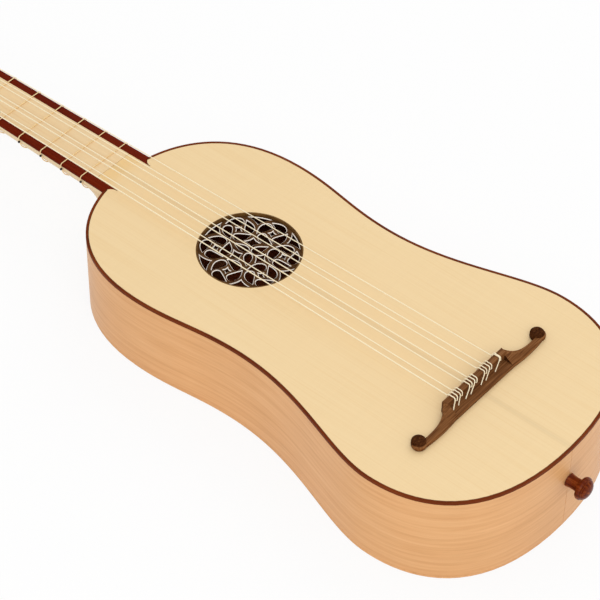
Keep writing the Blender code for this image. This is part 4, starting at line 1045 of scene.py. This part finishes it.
def makeWinding(index):
    radius = strings["radii"][index]
    pitch = 2 * radius + peg["coilGap"]
    side = math.copysign(1, pegPlace(index).x)
    points = []
    for step in range(peg["loops"] * peg["coilSteps"] + 1):
        turns = step / peg["coilSteps"]
        angle = 2 * math.pi * turns
        points.append((-side * coilRadius(index) * math.cos(angle), coilRadius(index) * math.sin(angle),
                       peg["stringHeight"] + pitch * turns))
    tubePiece("gut_winding_%d" % (index + 1), points, radius, "gut", "tuning_peg_%d" % (index + 1),
              ["string_winding_%d" % (index + 1)], 3, headTurn @ Matrix.Translation(pegPlace(index)))


# Strings, tied at the bridge
strings = {
    "radii": (0.00036, 0.00038, 0.00038, 0.00041, 0.00041, 0.00038, 0.00044),
    "tails": (0.0070, 0.0060, 0.0060, 0.0064, 0.0064, 0.0036, 0.0036),
    "pinches": (0.35, 1, 1, 1, 1, 1, 1),
    "straightEnd": 0.002,
}


def tiePoints(place, radius, tail, pinch):
    # through the hole, over the block, round the string in front, back over the block and down to the shelf
    off = gap + radius
    rear = -bridge["blockWidth"] - off
    over = bridge["blockHeight"] + off
    front = off + 0.0003
    hole = bridge["holeHeight"]
    spread = 2.6 * radius + gap
    top = spread * pinch
    shelf = bridge["shelfHeight"] + off
    through = [
        (0, -bridge["blockWidth"] + 0.0008, hole),
        (0.15 * top, rear - 0.0004, hole + 0.0002),
        (0.5 * top, rear - 0.0004, between(hole, over, 0.5)),
        (between(0.85, 1, 1 - pinch) * top, rear + 0.0002, over - 0.0001),
    ]
    strand = [
        (top, -bridge["blockWidth"] / 2, over + 0.0002),
        (between(top, spread, 0.3), -0.0002, over + 0.0001),
        (spread, front, between(hole, over, 0.6)),
        (spread, front, hole),
    ]
    end = [
        (-top, rear + 0.0002, over - 0.0001),
        (-top - 0.12 * tail, rear - 0.0005, between(shelf, over, 0.84)),
        (-top - 0.50 * tail, rear - 0.0011, between(shelf, over, 0.42)),
        (-top - tail, rear - 0.0020, shelf + 0.0003),
    ]
    returning = [(-x, y, z) for x, y, z in reversed(strand)]
    steps = through + strand + [(0, front, hole - 2.4 * radius - gap)] + returning + end
    return [Vector((place + x, y, z)) for x, y, z in steps]


def makeString(index):
    radius = strings["radii"][index]
    nutFront = Vector((nutShape["places"][index], guitar["stringLength"], nutShape["stringHeight"]))
    nutBack = Vector((nutShape["places"][index], nutRear - gap, nutShape["stringHeight"]))
    place = pegPlace(index)
    inward = -math.copysign(1, place.x)
    onPost = place + Vector((inward * coilRadius(index), 0, peg["stringHeight"]))
    touch = layDown.inverted() @ headTurn @ onPost
    along = (touch - nutBack).normalized()
    coil = coilRadius(index)
    clearance = math.sqrt((2 * coil + peg["coilGap"]) * (2 * radius + peg["coilGap"])) + peg["coilGap"]
    bridgeFront = Vector((bridge["places"][index], strings["straightEnd"], bridge["holeHeight"]))
    start = [touch - along * clearance, nutBack.lerp(touch, 0.1), nutBack, nutFront,
             nutFront.lerp(bridgeFront, 0.05), nutFront.lerp(bridgeFront, 0.98), bridgeFront]
    route = start + tiePoints(bridge["places"][index], radius, strings["tails"][index],
                              strings["pinches"][index])
    tubePiece("gut_string_%d" % (index + 1), route, radius, "gut", "body", ["string_%d" % (index + 1)],
              5)


# Tied gut frets with their burnt knots on the bass side
frets = {
    "count": 8, "firstRadius": 0.00045, "lastRadius": 0.00036, "knotRadius": 0.00100, "knotAngle": 0.08,
    "startAngle": 0.14, "endGap": 0.0001, "gaps": 1.6, "cornerSteps": 7, "steps": 24,
}


def makeFret(number):
    radius = between(frets["firstRadius"], frets["lastRadius"], (number - 1) / (frets["count"] - 1))
    y = guitar["stringLength"] / 2 ** (number / 12)
    half, depth = neckHalfWidth(y), neckDepth(y)
    corner = edgeStrips["rounding"]
    shiftEnd = 2 * radius + frets["endGap"]
    knotAngle = math.pi - frets["knotAngle"]

    def under(angle, shift, off=frets["gaps"] * gap + radius):
        normal = Vector((math.cos(angle) / half, -math.sin(angle) / depth)).normalized()
        return (half * math.cos(angle) + off * normal.x, y - shift,
                ribTop - depth * math.sin(angle) + off * normal.y)

    route = [under(knotAngle, 0)]
    reach = corner + frets["gaps"] * gap + radius
    for side, start, end in ((-1, math.pi, math.pi / 2), (1, math.pi / 2, 0)):
        for step in range(frets["cornerSteps"] + 1):
            angle = between(start, end, step / frets["cornerSteps"])
            route.append((side * (half - corner) + reach * math.cos(angle), y,
                          -corner + reach * math.sin(angle)))
    for step in range(frets["steps"] + 1):
        share = step / frets["steps"]
        route.append(under(between(frets["startAngle"], knotAngle, share), shiftEnd * share))
    body = "tied_fret_%d" % number
    tubePiece("gut_fret_%d" % number, route, radius, "fretGut", body, ["fret_%d" % number], 2)
    bm = bmesh.new()
    bmesh.ops.create_icosphere(bm, subdivisions=2, radius=frets["knotRadius"])
    bmesh.ops.translate(bm, verts=bm.verts, vec=under(knotAngle, shiftEnd / 2, gap + frets["knotRadius"]))
    finishPiece("burnt_knot_%d" % number, bm, "burntGut", body, [])


# Build every piece
makeSoundboard()
makeBinding()
makeBack()
sides = [makeRib("rib_treble_side", 1), makeRib("rib_bass_side", -1)]
for rib in sides:
    buttonPlace = (0, -guitar["tail"], -button["depth"])
    applyBooleans(rib, [roundCutter([button["shaftRadius"] + gap], button["cutDepth"], buttonPlace, 32)])
makeRose()
print("body made")
makeNeck()
makePanel()
makeEdge("edge_treble", 1)
makeEdge("edge_bass", -1)
makeNut()
makeBridge()
makeButton()
print("neck, bridge and button made")
headPlate("head_plate", "neckWood", "head", headBack, headFront)
headPlate("head_face", "edgeWood", "head_veneer", -neckShape["veneer"], 0.0)
for index in range(7):
    makePeg(index)
    makeWinding(index)
    makeString(index)
for number in range(1, frets["count"] + 1):
    makeFret(number)
print("head, pegs, strings and frets made")

for name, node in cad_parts.items():
    if not node.hide_render:
        node.data.materials.clear()
        # the neck block shows beside the heel, between the ribs; the other inner pieces are darkened as
        # painted shade inside the body
        node.data.materials.append(finishes["ribWood" if name == "neck_block" else "innerWoodPaintedShade"])


# Floor, light and camera
studio = {
    "worldStrength": 0.70, "floorGlow": 0.87, "floorSize": 12.0,
    "keySize": 1.6, "keyPower": 16.5, "keyPlace": (-1.1, -0.9, 1.7),
    "fillSize": 1.6, "fillPower": 7.0, "fillPlace": (1.4, 0.6, 1.5), "aim": (0, 0.15, 0.05),
    "floorTone": (0.94, 0.94, 0.94, 1), "floorRoughness": 0.9,
}


def seenRays(tree, kind):
    # 1 for the camera's own rays and those of one other kind
    rays = addNode(tree, "LightPath", {}).outputs
    return addNode(tree, "Math", {0: rays["Is Camera Ray"], 1: rays[kind]}, operation="MAXIMUM").outputs[0]


def makeStudio():
    bm = bmesh.new()
    bmesh.ops.create_grid(bm, x_segments=1, y_segments=1, size=studio["floorSize"])
    mesh = bpy.data.meshes.new("floor")
    bm.to_mesh(mesh)
    bm.free()
    floor = bpy.data.objects.new("floor", mesh)
    scene.collection.objects.link(floor)
    material, tree, shader = newMaterial("floorPaper", studio["floorRoughness"], specular=0.5)
    shader.inputs["Base Color"].default_value = studio["floorTone"]
    glow = addNode(tree, "Emission", {"Strength": 1.0})
    share = addNode(tree, "Math", {0: seenRays(tree, "Is Glossy Ray"), 1: studio["floorGlow"]},
                    operation="MULTIPLY")
    mix = addNode(tree, "MixShader", {"Fac": share.outputs[0], 1: shader.outputs[0], 2: glow.outputs[0]})
    tree.links.new(mix.outputs[0], tree.nodes["Material Output"].inputs["Surface"])
    mesh.materials.append(material)
    world = bpy.data.worlds.new("studioWorld")
    scene.world = world
    world.use_nodes = True
    tree = world.node_tree
    background = tree.nodes["Background"]
    background.inputs["Color"].default_value = (1, 1, 1, 1)
    strength = addNode(tree, "MapRange", {
        "Value": seenRays(tree, "Is Transmission Ray"), "To Min": studio["worldStrength"], "To Max": 1.0})
    tree.links.new(strength.outputs[0], background.inputs["Strength"])
    for label in ("key", "fill"):
        data = bpy.data.lights.new(label + "Light", "AREA")
        data.size = studio[label + "Size"]
        data.energy = studio[label + "Power"]
        lamp = bpy.data.objects.new(label + "Light", data)
        scene.collection.objects.link(lamp)
        lamp.location = studio[label + "Place"]
        lamp.rotation_euler = (Vector(studio["aim"]) - lamp.location).to_track_quat("-Z", "Y").to_euler()


camera = {
    "lens": 151.12, "elevation": 45.74, "azimuth": 50.272, "roll": 0.984,
    "target": (-0.014888, 0.141332, 0.0), "distance": 1.782857,
    "sensor": 36.0, "farthest": 50.0,
}


def makeCamera():
    azimuth, elevation = math.radians(camera["azimuth"]), math.radians(camera["elevation"])
    level = math.cos(elevation)
    forward = Vector((math.sin(azimuth) * level, math.cos(azimuth) * level, -math.sin(elevation)))
    right = forward.cross(Vector((0, 0, 1))).normalized()
    up = right.cross(forward)
    roll = math.radians(camera["roll"])
    turnedRight = right * math.cos(roll) + up * math.sin(roll)
    turnedUp = up * math.cos(roll) - right * math.sin(roll)
    place = Vector(camera["target"]) - forward * camera["distance"]
    pose = Matrix((turnedRight, turnedUp, -forward)).transposed().to_4x4()
    pose.translation = place
    data = bpy.data.cameras.new("photoCamera")
    data.lens = camera["lens"]
    data.sensor_width = camera["sensor"]
    data.clip_end = camera["farthest"]
    view = bpy.data.objects.new("photoCamera", data)
    scene.collection.objects.link(view)
    view.matrix_world = layDown @ pose
    scene.camera = view


makeStudio()
makeCamera()
scene.view_settings.view_transform = "Standard"
print("studio and camera made")
